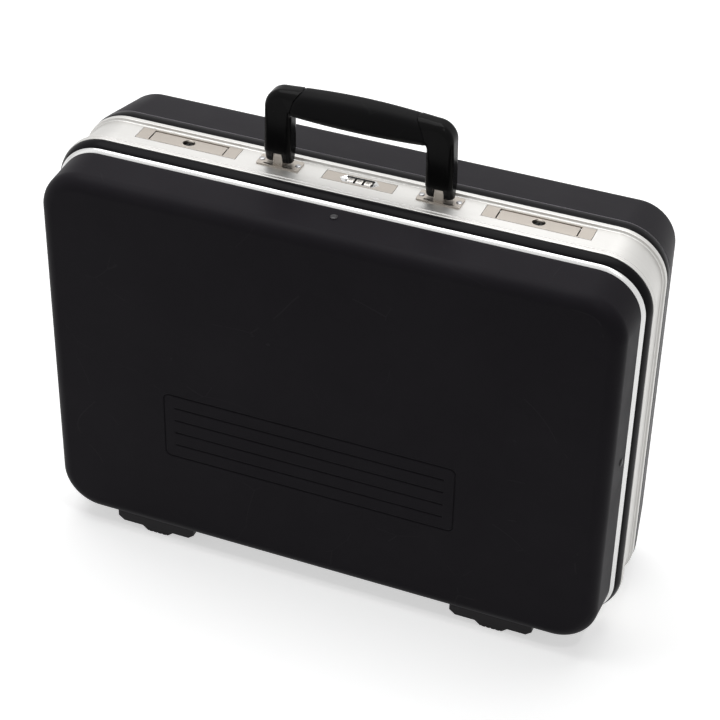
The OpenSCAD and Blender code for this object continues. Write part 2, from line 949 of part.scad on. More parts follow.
// A leaf spring under a lever, bent up from the bottom of the well
module latch_spring(s) {
    spring_w = 4;
    run = 14;
    x0 = 2 - lever_l / 2;
    top = lever_low - spring_gap;
    color(STEEL_C)
        on_channel(s * latch_x)
            translate([0, spring_w / 2, 0])
                rotate([90, 0, 0])
                    linear_extrude(height = spring_w)
                        polygon([
                            [x0, key_low], [x0 + run - 2, key_low], [x0 + run - 2, key_low + spring_t],
                            [x0 + 3, key_low + spring_t], [x0 + run, top - spring_t],
                            [x0 + run, top], [x0, key_low + spring_t + 0.2]
                        ]);
}

module latch_spring_left() {
    latch_spring(-1);
}

module latch_spring_right() {
    latch_spring(1);
}

module key_cylinder(s) {
    color(STEEL_C)
        on_channel(s * latch_x)
            difference() {
                z_rod(key_r, key_low + 0.1, lever_low - 0.3, 0, 0);
                block(-keyway_w / 2, keyway_w / 2, -keyway_l / 2, keyway_l / 2,
                    lever_low - 0.3 - keyway_d, lever_low);
            }
}

module key_cylinder_left() {
    key_cylinder(-1);
}

module key_cylinder_right() {
    key_cylinder(1);
}

// A ring with one finger, which turns under the lever's catch
module key_cam(s) {
    color(STEEL_C)
        on_channel(s * latch_x)
            difference() {
                union() {
                    z_rod(key_r + 0.8, cam_z, cam_z + cam_t, 0, 0);
                    block(-cam_w / 2, cam_w / 2, -cam_r, 0, cam_z, cam_z + cam_t);
                }
                z_rod(key_r + fit, cam_z - 1, cam_z + cam_t + 1, 0, 0);
            }
}

module key_cam_left() {
    key_cam(-1);
}

module key_cam_right() {
    key_cam(1);
}

// ---- Combination lock ----

module combination_housing() {
    land_l = combo_l / 2 - 0.3;
    land_w = combo_w / 2 - 0.3;
    body_w = combo_body_w / 2;
    in_w = combo_in_w / 2;
    cavity = cavity_l / 2;
    eye_x1 = eye_x0 + eye_t;
    color(STEEL_C)
        on_channel(0)
            difference() {
                union() {
                    block(-land_l, land_l, -land_w, land_w, under_z - 0.5, floor_z - combo_t);
                    block(-combo_l / 2, combo_l / 2, -body_w, body_w,
                        under_z - combo_flange_t, under_z);
                    block(shaft_tail - 1.5, eye_x1 + 1.5, -body_w, body_w, combo_low, under_z - 1);
                }
                block(-cavity, cavity, -in_w, in_w,
                    combo_low + combo_bottom_t, under_z - combo_flange_t);
                block(-cavity, cavity, 1.2 - in_w, in_w - 1.2, combo_low + combo_bottom_t, floor_z);
                x_rod(shaft_r + fit, shaft_tail - 0.5, eye_x1 + 2, 0, shaft_z);
                block(eye_x0 - 1, eye_x1 + 1, -combo_body_w, 4, shaft_z - 4, shaft_z + 3.6);
            }
}

module combination_plate() {
    hw = window_w / 2;
    hl = window_l / 2;
    color(LOCK_C)
        on_channel(0)
            translate([0, 0, floor_z - combo_t])
                linear_extrude(height = combo_t)
                    difference() {
                        square([combo_l, combo_w], center = true);
                        polygon([
                            [-hl, 0], [window_point - hl, hw], [hl - window_point, hw],
                            [hl, 0], [hl - window_point, -hw], [window_point - hl, -hw]
                        ]);
                    }
}

// A dial with ten small notches on each rim
module dial(i) {
    color(DIAL_C)
        on_channel(i * dial_pitch)
            difference() {
                x_rod(dial_r, -dial_w / 2, dial_w / 2, 0, shaft_z);
                x_rod(shaft_r + fit, -dial_w, dial_w, 0, shaft_z);
                for (a = [0:36:359], k = [-1, 1])
                    translate([k * dial_w / 2, 0, shaft_z])
                        rotate([a + 18, 0, 0])
                            x_rod(dial_notch_r, -dial_notch_l, dial_notch_l, 0, dial_r);
            }
}

module dial_left() {
    dial(-1);
}

module dial_middle() {
    dial(0);
}

module dial_right() {
    dial(1);
}

module dial_shaft() {
    color(STEEL_C)
        on_channel(0)
            x_rod(shaft_r, shaft_tail, shaft_tip, 0, shaft_z);
}

// A leaf with one finger under each dial
module dial_detent_spring() {
    low = combo_low + combo_bottom_t;
    color(STEEL_C)
        on_channel(0) {
            block(0.3 - cavity_l / 2, cavity_l / 2 - 0.3, 3, 6, low, low + detent_t);
            for (i = [-1:1]) {
                x = i * dial_pitch;
                block(x - detent_w / 2, x + detent_w / 2, -2, 3 + EPS, low, low + detent_t);
                block(x - detent_w / 2, x + detent_w / 2, -2, -0.5, low, dial_low - spring_gap);
            }
        }
}

// ---- Hinge ----

function knuckle_x(i) = -hinge_l / 2 + i * knuckle_l;

module knuckle_row(first) {
    for (i = [first:2:knuckles - 1])
        x_rod(hinge_r, knuckle_x(i) + leaf_gap / 2, knuckle_x(i + 1) - leaf_gap / 2, part_y, hinge_z);
}

module base_leaf_holes() {
    for (x = leaf_rivets())
        z_rod(rivet_r + fit, base_leaf_top - 1, stand_h - under_z + 1, x, leaf_rivet_y);
}

function leaf_rivets() = [for (i = [0:5]) (i - 2.5) * hinge_l / 6];

module hinge_base_leaf() {
    top = stand_h + channel_depth;
    low = base_leaf_top - leaf_t;
    web = base_web_y + leaf_t;
    end = base_web_y + leaf_flange;
    y0 = part_y + hinge_r + leaf_gap;
    color(STEEL_C)
        difference() {
            union() {
                knuckle_row(0);
                along_x(-hinge_l / 2, hinge_l / 2)
                    polygon([
                        [y0, low], [web, low], [web, top - leaf_t], [end, top - leaf_t],
                        [end, top], [base_web_y, top], [base_web_y, base_leaf_top], [y0, base_leaf_top]
                    ]);
                for (i = [0:2:knuckles - 1])
                    block(knuckle_x(i) + leaf_gap / 2, knuckle_x(i + 1) - leaf_gap / 2,
                        part_y + 1, y0 + EPS, low, base_leaf_top);
            }
            x_rod(hinge_pin_r + fit, -hinge_l, hinge_l, part_y, hinge_z);
            for (x = leaf_rivets())
                z_rod(rivet_r + fit, top - leaf_t - 1, top + 1, x, leaf_rivet_y);
        }
}

module hinge_lid_leaf() {
    top = lid_under_z;
    low = hinge_z + hinge_r - leaf_t;
    web = lid_web_y - leaf_t;
    end = web - lid_flange;
    y1 = part_y - hinge_r - leaf_gap;
    color(STEEL_C)
        difference() {
            union() {
                knuckle_row(1);
                along_x(knuckle_x(1) + leaf_gap / 2, knuckle_x(knuckles - 1) - leaf_gap / 2)
                    polygon([
                        [y1, low], [y1, low + leaf_t], [lid_web_y, low + leaf_t], [lid_web_y, top],
                        [end, top], [end, top - leaf_t], [web, top - leaf_t], [web, low]
                    ]);
                for (i = [1:2:knuckles - 1])
                    block(knuckle_x(i) + leaf_gap / 2, knuckle_x(i + 1) - leaf_gap / 2,
                        y1 - EPS, part_y, low, low + leaf_t);
            }
            x_rod(hinge_pin_r + fit, -hinge_l, hinge_l, part_y, hinge_z);
            for (x = lid_leaf_rivets())
                z_rod(rivet_r + fit, top - leaf_t - 1, top + 1, x, lid_leaf_rivet_y);
        }
}

function lid_leaf_rivets() = [for (i = [0:4]) (i - 2) * hinge_l / 6];

module hinge_pin() {
    end = hinge_l / 2 + 0.2;
    color(STEEL_C) {
        x_rod(hinge_pin_r, -end - EPS, end + EPS, part_y, hinge_z);
        x_rod(pin_head_r, -end - pin_head_t, -end, part_y, hinge_z);
        x_rod(pin_head_r, end, end + pin_head_t, part_y, hinge_z);
    }
}

module hinge_base_rivets() {
    color(STEEL_C)
        for (x = leaf_rivets())
            translate([x, leaf_rivet_y, stand_h + channel_depth - leaf_t])
                rotate([180, 0, 0])
                    rivet(leaf_t + frame_t + 1);
}

module hinge_lid_rivets() {
    color(STEEL_C)
        for (x = lid_leaf_rivets())
            translate([x, lid_leaf_rivet_y, lid_under_z - leaf_t])
                rotate([180, 0, 0])
                    rivet(leaf_t + shell_t + 1);
}

// ---- Lid ----

module lid_outer() {
    tub(-lid_inset, lid_draft, lid_fillet, bead_y0, face_y);
}

// The grooves of the front panel: a border and straight lines, cut from the face
module panel_grooves() {
    pitch = (panel_h - groove_w) / (groove_count + 1);
    translate([panel_x, face_y + groove_d, stand_h + panel_z])
        rotate([90, 0, 0])
            linear_extrude(height = groove_d + 1) {
                difference() {
                    rounded(panel_w, panel_h, panel_r);
                    rounded(panel_w - 2 * groove_w, panel_h - 2 * groove_w, panel_r - groove_w);
                }
                for (i = [1:groove_count])
                    translate([0, i * pitch - panel_h / 2 + groove_w / 2])
                        square([panel_w - 2 * panel_margin, groove_w], center = true);
            }
}

module lid_rivet_places() {
    translate([0, lid_rivet_y, top_z - lid_inset - lid_rivet_set])
        children();
    for (s = [-1, 1])
        translate([s * (case_w / 2 - lid_inset - lid_rivet_set), lid_rivet_y, mid_z + 6])
            rotate([0, s * 90, 0])
                children();
}

module lid_shell() {
    color(SHELL_C)
        difference() {
            lid_outer();
            tub(-lid_inset - shell_t, lid_draft, lid_fillet - shell_t,
                bead_y0 + EPS, face_y + shell_t);
            panel_grooves();
            foot_holes(lid_foot_y, lid_screw_top + 1);
            lid_rivet_places()
                cylinder(r = rivet_r + fit, h = 12, center = true);
            for (x = lid_leaf_rivets())
                z_rod(rivet_r + fit, lid_under_z - 1, lid_under_z + shell_t + 2, x, lid_leaf_rivet_y);
        }
}

module lid_frame() {
    color(BRIGHT_C)
        difference() {
            union() {
                crowned_ring(bead_o0, bead_o1, bead_rise, strip_in, bead_y0, bead_y1);
                ring(strip_out, strip_in, bead_y0 - strip_w, bead_y0 + EPS);
                ring(strip_out - EPS, seat_in, seat_y0, seal_y0);
            }
            lid_rivet_places()
                cylinder(r = rivet_r + fit, h = 20, center = true);
            for (p = keeper_places())
                z_rod(rivet_r + fit, top_z + strip_in - 1, top_z + strip_out + 1, p[0], p[1]);
            for (x = lid_leaf_rivets())
                z_rod(rivet_r + fit, lid_under_z, stand_h - strip_in + 1, x, lid_leaf_rivet_y);
        }
}

module lid_seal() {
    color(RUBBER_C)
        ring(strip_in - seat_gap / 2, tongue_in, seal_y0, seal_y1);
}

module lid_rivets() {
    color(STEEL_C)
        lid_rivet_places()
            translate([0, 0, lid_rivet_lift])
                rivet(shell_t + strip_t + 1.8);
}

function keeper_places() = [
    for (x = [-latch_x, 0, latch_x], k = [-1, 1]) [x + k * keeper_rivet_x, keeper_rivet_y]
];

// A keeper's side outline up to depth y1: a pad on the lid's strip, a web and a flat arm
module keeper_side(y1) {
    pad = strip_in - seat_gap;
    web = seat_y0 - keeper_gap;
    polygon([
        [keeper_pad_y0, pad], [keeper_pad_y0, pad - keeper_t],
        [web - keeper_t, pad - keeper_t], [web - keeper_t, keeper_low],
        [y1, keeper_low], [y1, keeper_top], [web, keeper_top], [web, pad]
    ]);
}

module keeper_rivet_holes() {
    for (k = [-1, 1])
        z_rod(rivet_r + fit, strip_in - seat_gap - keeper_t - 1, strip_in,
            k * keeper_rivet_x, keeper_rivet_y);
}

// The keeper of one latch: a forked arm with a slot for each claw
module lid_keeper(s) {
    color(STEEL_C)
        translate([s * latch_x, 0, top_z])
            difference() {
                along_x(-keeper_half, keeper_half)
                    keeper_side(chan_y + keeper_end);
                keeper_rivet_holes();
                block(-fork_w / 2, fork_w / 2, chan_y - fork_d, chan_y + 1, keeper_low - 1, keeper_top + 1);
                for (k = [-1, 1])
                    block(k * hook_x - claw_slot_w / 2, k * hook_x + claw_slot_w / 2,
                        claw_slot_y, claw_slot_y + claw_slot_d, keeper_low - 1, keeper_top + 1);
            }
}

module lid_keeper_left() {
    lid_keeper(-1);
}

module lid_keeper_right() {
    lid_keeper(1);
}

// The middle keeper: an upright eye that the combination lock's shaft enters
module lid_keeper_middle() {
    eye_out = eye_r + eye_wall;
    arm_end = chan_y - combo_body_w / 2 - 3;
    color(STEEL_C)
        translate([0, 0, top_z])
            difference() {
                union() {
                    along_x(-11, eye_x0 + eye_t)
                        keeper_side(seat_y0 + 3);
                    along_x(eye_x0, eye_x0 + eye_t) {
                        polygon([
                            [seat_y0, keeper_top], [seat_y0, keeper_low],
                            [chan_y, shaft_z - eye_out - 0.2], [chan_y, shaft_z + eye_out],
                            [arm_end, shaft_z + eye_out], [arm_end - 6, keeper_top]
                        ]);
                        translate([chan_y, shaft_z])
                            circle(r = eye_out);
                    }
                }
                keeper_rivet_holes();
                z_rod(rivet_r + 0.5, strip_in - shell_t, strip_in, 0, lid_rivet_y);
                x_rod(eye_r, eye_x0 - 1, eye_x0 + eye_t + 1, chan_y, shaft_z);
            }
}

module lid_keeper_rivets() {
    color(STEEL_C)
        for (p = keeper_places())
            translate([p[0], p[1], top_z + strip_in - seat_gap - keeper_t])
                rotate([180, 0, 0])
                    rivet(keeper_t + seat_gap + strip_t);
}

base_shell();
base_frame();
base_front_edging();
base_rear_edging();
base_foot_left();
base_foot_right();
base_foot_screws();
handle_bracket_left();
handle_bracket_right();
handle_bracket_rivets();
handle_pin_left();
handle_pin_right();
latch_housing_left();
latch_housing_right();
latch_pin_left();
latch_pin_right();
latch_spring_left();
latch_spring_right();
combination_housing();
combination_plate();
dial_detent_spring();
hinge_base_leaf();
hinge_pin();
hinge_base_rivets();
lid_shell();
lid_frame();
lid_seal();
lid_rivets();
lid_keeper_left();
lid_keeper_right();
lid_keeper_middle();
lid_keeper_rivets();
lid_foot_left();
lid_foot_right();
lid_foot_screws();
hinge_lid_leaf();
hinge_lid_rivets();
handle_arm_left();
handle_arm_right();
handle_grip();
handle_core();
latch_lever_left();
latch_lever_right();
key_cylinder_left();
key_cylinder_right();
key_cam_left();
key_cam_right();
dial_left();
dial_middle();
dial_right();
dial_shaft();
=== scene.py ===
"""Hard tool case: the visual pieces, materials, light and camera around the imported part."""
import math
from types import SimpleNamespace

import bmesh
import bpy
from mathutils import Matrix, Vector


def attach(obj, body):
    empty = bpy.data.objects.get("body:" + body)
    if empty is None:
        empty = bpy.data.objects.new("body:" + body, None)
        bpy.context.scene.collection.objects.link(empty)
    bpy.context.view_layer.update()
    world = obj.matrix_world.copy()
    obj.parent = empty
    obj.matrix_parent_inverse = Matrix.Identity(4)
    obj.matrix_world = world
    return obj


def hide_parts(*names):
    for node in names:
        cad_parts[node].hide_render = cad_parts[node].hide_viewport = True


bl_info = {
    "name": "Hard tool case",
    "version": (1, 0, 0),
    "blender": (4, 5, 0),
    "location": "3D View > Sidebar > Tool case",
    "description": "Builds the pieces, finishes, light and camera of a hard tool case",
    "category": "Object",
}

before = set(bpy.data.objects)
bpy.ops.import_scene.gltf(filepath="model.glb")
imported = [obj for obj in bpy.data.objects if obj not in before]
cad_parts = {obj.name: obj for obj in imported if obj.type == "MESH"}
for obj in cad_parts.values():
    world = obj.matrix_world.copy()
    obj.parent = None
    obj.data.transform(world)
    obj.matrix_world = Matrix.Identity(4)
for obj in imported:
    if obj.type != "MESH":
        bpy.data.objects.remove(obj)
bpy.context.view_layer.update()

MM = 0.001
CORNER_STEPS = 28  # steps of the frame's round corners
ROUND_STEPS = 5  # steps of a profile's round corners
BOW_STEPS = 14  # steps of longer bows
CAMERA_PLACE = (0.50236, -1.28523, 1.19251)
CAMERA_RIGHT = (0.92736, 0.37375, 0.017697)
CAMERA_UP = (-0.23479, 0.54444, 0.80527)
CAMERA_LENS = 106.77
CAMERA_SENSOR = 36.0
FLOOR_HALF = 6000  # half the floor's side, in millimetres
FLOOR_GLOW = 0.555  # glow of the floor under the case, as the camera and reflections see it
FAR_GLOW = 0.3  # what is added to it from GLOW_START on, over GLOW_REACH metres
GLOW_START, GLOW_REACH = 0.8, 1.6
WORLD_LIGHT = 0.16  # strength of the surround as matt surfaces see it

# Name, place, aim and size in metres, and power in watts
LAMPS = (
    ("overhead softbox", (-0.25, 0.35, 1.9), (-0.1, 0.15, 0.2), (2.0, 1.3), 26.5),
    ("left softbox", (-1.7, -0.9, 1.2), (0, 0, 0.2), (1.2, 1.6), 1.5),
    ("corner light", (0.79, -0.6, 1.73), (0.07, 0, 0.4), (0.07, 0.07), 2.5),
)

# Sizes in millimetres that no slider changes
SPLIT = 0.15  # half the gap between lid and base
EDGING_W, REAR_EDGING_W = 8.4, 10
LEDGE_SET, LEDGE_W = 5.8, 11.1  # the ledge along the channel's front
LIP_W = 4  # width of the lip along its rear
STRIP = -9.3  # offset of the strip that closes the lid
TONGUE = -11.1  # offset of the lower edge of the channel's tongue
PLAY = 0.35  # gap around a plate that lies in the channel
WELL_WALL = 0.85  # wall between a latch's well and its plate's edge
PLATE_H = 1.3  # height of a bracket's plate
PLATE_SLOT = (8, -5, 3.7, 0.9)  # middle and half sizes of a slot in it
BRACKET_RIVET = 14.9  # distance of a bracket's rivets from its middle
FOOT_STEP, FOOT_SLANT = 6.2, 5  # height of a foot's lower step, and the slant of the upper one
FOOT_STATIONS = (-11, -8, -4, 0, 4, 8, 11)  # depths of a foot's sections
HEAD_LOW = 1.85  # how deep a key's barrel lies below the channel's floor
DIGIT_W, DIGIT_H, DIGIT_T = 1.5, 2.5, 0.17  # width, height and half stroke of a digit
DIGIT_GRID = (2, 4)  # width and height of the grid that the digits are drawn on
BOTH = (-1, 1)
SIDES = ((-1, "left"), (1, "right"))

# Strokes of the digits on the dials, on a grid 2 wide and 4 high
DIGITS = {
    0: [[(0, 0), (2, 0), (2, 4), (0, 4), (0, 0)]],
    1: [[(0.4, 3.2), (1.2, 4), (1.2, 0)]],
    2: [[(0, 4), (2, 4), (2, 2), (0, 2), (0, 0), (2, 0)]],
    3: [[(0, 4), (2, 4), (2, 0), (0, 0)], [(0.4, 2), (2, 2)]],
    4: [[(0, 4), (0, 2), (2, 2)], [(2, 4), (2, 0)]],
    5: [[(2, 4), (0, 4), (0, 2), (2, 2), (2, 0), (0, 0)]],
    6: [[(2, 4), (0, 4), (0, 0), (2, 0), (2, 2), (0, 2)]],
    7: [[(0, 4), (2, 4), (0.8, 0)]],
    8: [[(0, 0), (2, 0), (2, 4), (0, 4), (0, 0)], [(0, 2), (2, 2)]],
    9: [[(2, 2), (0, 2), (0, 4), (2, 4), (2, 0), (0, 0)]],
}


def length(name, description, millimetres, low=0.0):
    return bpy.props.FloatProperty(
        name=name, description=description, default=millimetres * MM, min=low * MM, precision=5, unit="LENGTH"
    )


def colour(name, description, value):
    return bpy.props.FloatVectorProperty(
        name=name, description=description, default=value, min=0.0, max=1.0, size=3, subtype="COLOR"
    )


class CaseSizes(bpy.types.PropertyGroup):
    """Sizes of the case's shells, frames and feet."""

    width: length("Width", "Width of the case over its frame", 480)
    height: length("Height", "Height of the case over its frame", 338)
    corner: length("Corner radius", "Corner radius of the frame", 40)
    stand: length("Stand height", "Height of the frame's lower edge above the floor", 9)
    lid_depth: length("Lid depth", "Depth of the lid", 43.5)
    base_depth: length("Base depth", "Depth of the base", 115)
    wall: length("Shell wall", "Wall of both shells", 3)
    lid_inset: length("Lid inset", "How far the lid's shell lies inside the frame's outline", 4.5)
    lid_draft: length("Lid draft", "Draft of the lid's sides", 1)
    lid_fillet: length("Lid edge", "Round edge of the lid's face", 12)
    base_inset: length("Base inset", "How far the base's shell lies inside the frame's outline", 0.7)
    base_draft: length("Base draft", "Draft of the base's sides", 7.3)
    base_fillet: length("Base edge", "Round edge of the base's back", 14)
    bead: length("Bead width", "Width of the bright bead on the lid", 3.45)
    channel: length("Channel width", "Width of the aluminium channel", 42)
    channel_depth: length("Channel depth", "Depth of the channel below its rear lip", 2.6)
    channel_set: length("Lock offset", "How far handle and locks lie behind the channel's middle", 6.55)
    panel_w: length("Panel width", "Width of the grooved panel", 250)
    panel_h: length("Panel height", "Height of the grooved panel", 64)
    panel_x: length("Panel offset", "Sideways place of the grooved panel", -9, -60)
    panel_z: length("Panel place", "Height of the panel's middle above the frame's lower edge", 119)
    groove_w: length("Groove width", "Width of a groove", 2.4)
    groove_d: length("Groove depth", "Depth of a groove", 1)
    foot_l: length("Foot length", "Length of a foot at the shell", 70)
    foot_pad: length("Foot pad", "Length of a foot's lower step at its top", 33)
    foot_inset: length("Foot inset", "Distance of each foot's middle from the case's side", 91)


class FittingSizes(bpy.types.PropertyGroup):
    """Sizes of the handle, the latches and the combination lock."""

    leg_spacing: length("Leg spacing", "Distance between the middles of the handle's legs", 130.6)
    leg_w: length("Leg width", "Width of a leg", 22)
    leg_t: length("Pivot depth", "Depth of a leg around its pivot", 12)
    leg_d: length("Leg depth", "Depth of a leg above its pivot", 17)
    pivot_h: length("Pivot height", "Height of the handle's pivots above the rear lip", 5.5)
    grip_h: length("Grip height", "Height of the grip's middle above the rear lip", 55.4)
    grip_t: length("Grip section", "Height of the grip's section", 24.9)
    grip_d: length("Grip depth", "Depth of the grip's section", 21)
    belly: length("Grip belly", "How far the grip's underside hangs lower in its middle", 1.5)
    grip_l: length("Grip length", "Length of the grip along its upper edge", 89)
    crown_r: length("Handle crown", "Radius of the handle's crowned top", 610)
    handle_r: length("Handle corner", "Round outer corner of the handle", 15)
    lug_w: length("Lug width", "Width of a bracket's lug", 7.8)
    lug_r: length("Lug radius", "Radius of a bracket's lug", 4.6)
    latch_inset: length("Latch inset", "Distance of each latch's middle from the case's side", 97.5)
    latch_l: length("Latch length", "Length of a latch's plate", 85)
    latch_w: length("Latch width", "Width of a latch's plate", 15.5)
    lever_l: length("Lever length", "Length of a latch's lever", 62)
    slit: length("Lever slit", "Gap at each end of a lever", 0.8)
    eye_l: length("Eye length", "Half length of the key opening", 5.2)
    eye_w: length("Eye width", "Half width of the key opening", 4.3)
    key_r: length("Key radius", "Radius of a key cylinder", 3)
    combo_l: length("Lock plate length", "Length of the combination lock's plate", 57.5)
    combo_w: length("Lock plate width", "Width of the combination lock's plate", 12.5)
    combo_t: length("Lock plate thickness", "Thickness of the combination lock's plate", 0.9)
    window_l: length("Window length", "Length of the dials' window", 31)
    window_w: length("Window width", "Width of the dials' window", 9)
    dial_r: length("Dial radius", "Radius of a dial", 7.5)
    dial_w: length("Dial width", "Width of a dial", 5.5)
    dial_pitch: length("Dial distance", "Distance between dials", 7)
    rivet_r: length("Rivet head", "Radius of a rivet's head", 3)


class CaseColours(bpy.types.PropertyGroup):
    """Colours of the case's finishes."""

    shell: colour("Shells", "Moulded plastic of the shells", (0.0154, 0.0137, 0.0172))
    edging: colour("Edging", "Black edging on both sides of the channel", (0.0054, 0.0048, 0.0061))
    # Pale colour of the thin ring at the rear shell's rim: a painted highlight of the crease between rear
    # edging and shell.
    wear_and_highlight: colour("Highlighted rim", "Highlighted edge of the rear shell's rim", (0.30, 0.285, 0.31))
    bead: colour("Bead", "Bright aluminium of the lid's bead", (0.70, 0.70, 0.695))
    channel: colour("Channel", "Aluminium of the channel", (0.645, 0.636, 0.617))
    lock: colour("Lock metal", "Warm nickel finish of plates, levers and brackets", (0.445, 0.405, 0.362))
    steel: colour("Steel", "Zinc-plated steel of pins, rivets and leaves", (0.42, 0.42, 0.43))
    handle: colour("Handle", "Satin plastic of the handle's arms", (0.0035, 0.0033, 0.0036))
    grip: colour("Grip", "Soft plastic of the grip", (0.0045, 0.0043, 0.0048))
    foot: colour("Feet", "Dark plastic of the feet", (0.019, 0.0172, 0.0200))
    floor: colour("Floor", "Pale floor", (0.93, 0.93, 0.93))


def layout():
    """The sizes and the places that follow from them, in millimetres."""
    scene = bpy.context.scene
    d = SimpleNamespace()
    for group in (scene.case_sizes, scene.fitting_sizes):
        for name in type(group).__annotations__:
            setattr(d, name, getattr(group, name) / MM)
    d.top = d.stand + d.height
    d.mid = d.stand + d.height / 2
    d.part_y = (d.lid_depth - d.base_depth) / 2
    d.face_y = d.part_y - d.lid_depth
    d.back_y = d.part_y + d.base_depth
    d.bead_y1 = d.part_y - SPLIT
    d.bead_y0 = d.bead_y1 - d.bead
    d.chan_y0 = d.part_y + EDGING_W
    d.chan_y1 = d.chan_y0 + d.channel
    d.ledge_y0 = d.chan_y0 + LEDGE_SET
    d.ledge_y1 = d.ledge_y0 + LEDGE_W
    d.lip_y0 = d.chan_y1 - LIP_W
    d.rim_y = d.chan_y1 + REAR_EDGING_W
    d.chan_y = (d.chan_y0 + d.chan_y1) / 2 + d.channel_set
    d.floor_z = -d.channel_depth
    d.latch_x = d.width / 2 - d.latch_inset
    d.leg_x = d.leg_spacing / 2
    d.leg_in, d.leg_out = d.leg_x - d.leg_w / 2, d.leg_x + d.leg_w / 2
    d.grip_low, d.grip_top = d.grip_h - d.grip_t / 2, d.grip_h + d.grip_t / 2
    d.well_w = d.latch_w - 2 * WELL_WALL
    d.well_l = d.lever_l + 2 * d.slit
    d.lever_y = d.well_w / 2 - 2
    d.shaft_z = d.floor_z + 0.4 - d.dial_r
    d.foot_x = d.width / 2 - d.foot_inset
    return d


def lock_place(d, x=0):
    """A place over the middle of handle and locks, at the height of the rear lip."""
    return (x, d.chan_y, d.top)


def put(name, data):
    """A new object in the scene."""
    thing = bpy.data.objects.new(name, data)
    bpy.context.scene.collection.objects.link(thing)
    return thing


# ---- Mesh making, in millimetres ----


def blank_mesh(points, faces, uvs=None):
    mesh = bpy.data.meshes.new("mesh")
    mesh.from_pydata([tuple(c * MM for c in p) for p in points], [], faces)
    if uvs:
        layer = mesh.uv_layers.new(name="run")
        for loop, uv in zip(layer.uv, [c for face in uvs for c in face]):
            loop.vector = uv
    return mesh


def mesh_of(bm):
    mesh = bpy.data.meshes.new("mesh")
    bm.to_mesh(mesh)
    bm.free()
    return mesh


def placed(bm, place):
    """A mesh moved to a place, with every face turned outwards."""
    bm.transform(Matrix.Translation(Vector(place) * MM))
    bmesh.ops.recalc_face_normals(bm, faces=bm.faces)
    return mesh_of(bm)


def closed_up(mesh):
    """Merges doubled points and turns every face outwards."""
    bm = bmesh.new()
    bm.from_mesh(mesh)
    bmesh.ops.remove_doubles(bm, verts=bm.verts, dist=1e-7)
    bmesh.ops.recalc_face_normals(bm, faces=bm.faces)
    bm.to_mesh(mesh)
    bm.free()
    return mesh


def soften(thing, width, steps, sharp):
    """Rounds the edges that are sharper than an angle."""
    soft = thing.modifiers.new("soft edges", "BEVEL")
    soft.width, soft.segments = width * MM, steps
    soft.limit_method, soft.angle_limit = "ANGLE", math.radians(sharp)


def shade_evenly(thing):
    thing.modifiers.new("even shading", "WEIGHTED_NORMAL").keep_sharp = True


def add_piece(name, mesh, finish, body, slot, *nodes, bevel=0.0, steps=2, sharp=38):
    """Puts a mesh in the scene as a piece that rides on a body in place of CAD nodes, with soft edges."""
    mesh.name = name
    piece = put(name, mesh)
    mesh.materials.clear()
    mesh.materials.append(finish_of(finish))
    mesh.shade_smooth()
    if bevel:
        soften(piece, bevel, steps, sharp)
    else:
        mesh.set_sharp_from_angle(angle=math.radians(sharp))
    shade_evenly(piece)
    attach(piece, body)
    if nodes:
        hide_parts(*nodes)
    return piece


def finish_nodes(*names, bevel=0.15):
    """Gives CAD nodes their plated steel and soft edges."""
    for name in names:
        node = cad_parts[name]
        node.data.materials.clear()
        node.data.materials.append(finish_of("steel"))
        node.modifiers.new("join", "WELD").merge_threshold = 1e-6
        soften(node, bevel, 2, 40)
        shade_evenly(node)


def softened(points, radii):
    """A closed profile with each corner rounded by its own radius."""
    made = []
    for i, (point, radius) in enumerate(zip(points, radii)):
        here = Vector(point)
        if not radius:
            made.append(tuple(here))
            continue
        back = Vector(points[i - 1]) - here
        ahead = Vector(points[(i + 1) % len(points)]) - here
        half = back.angle(ahead) / 2
        reach = min(radius / max(math.tan(half), 0.05), 0.48 * back.length, 0.48 * ahead.length)
        a = here + back.normalized() * reach
        b = here + ahead.normalized() * reach
        for k in range(ROUND_STEPS + 1):
            t = k / ROUND_STEPS
            made.append(tuple(a * (1 - t) ** 2 + here * (2 * t * (1 - t)) + b * t**2))
    return made


def frame_path(d):
    """Centres and angles that carry a point around the frame's outline, with the length run so far."""
    x, z = d.width / 2 - d.corner, d.height / 2 - d.corner
    path, run, last = [], 0.0, None
    for cx, cz, start in ((0, -z, -90), (x, -z, -90), (x, z, 0), (-x, z, 90), (-x, -z, 180)):
        steps = 0 if cx == 0 else CORNER_STEPS
        for i in range(steps + 1):
            angle = math.radians(start + (90 * i / steps if steps else 0))
            at = Vector((cx + d.corner * math.cos(angle), cz + d.corner * math.sin(angle)))
            run += (at - last).length if last else 0.0
            last = at
            path.append((cx, cz + d.mid, angle, run))
    whole = run + (Vector((0, -z - d.corner)) - last).length
    return path, whole


def outline_at(d, offset):
    """Points (x, z) of the frame's outline, moved outwards by an offset."""
    reach = d.corner + offset
    return [(cx + reach * math.cos(a), cz + reach * math.sin(a)) for cx, cz, a, _ in frame_path(d)[0]]


def bands(rows, count, closed=False):
    """Faces between rings of count points that follow each other in one list."""
    faces = []
    for j in range(rows if closed else rows - 1):
        k = (j + 1) % rows
        for i in range(count):
            n = (i + 1) % count
            faces.append((j * count + i, j * count + n, k * count + n, k * count + i))
    return faces


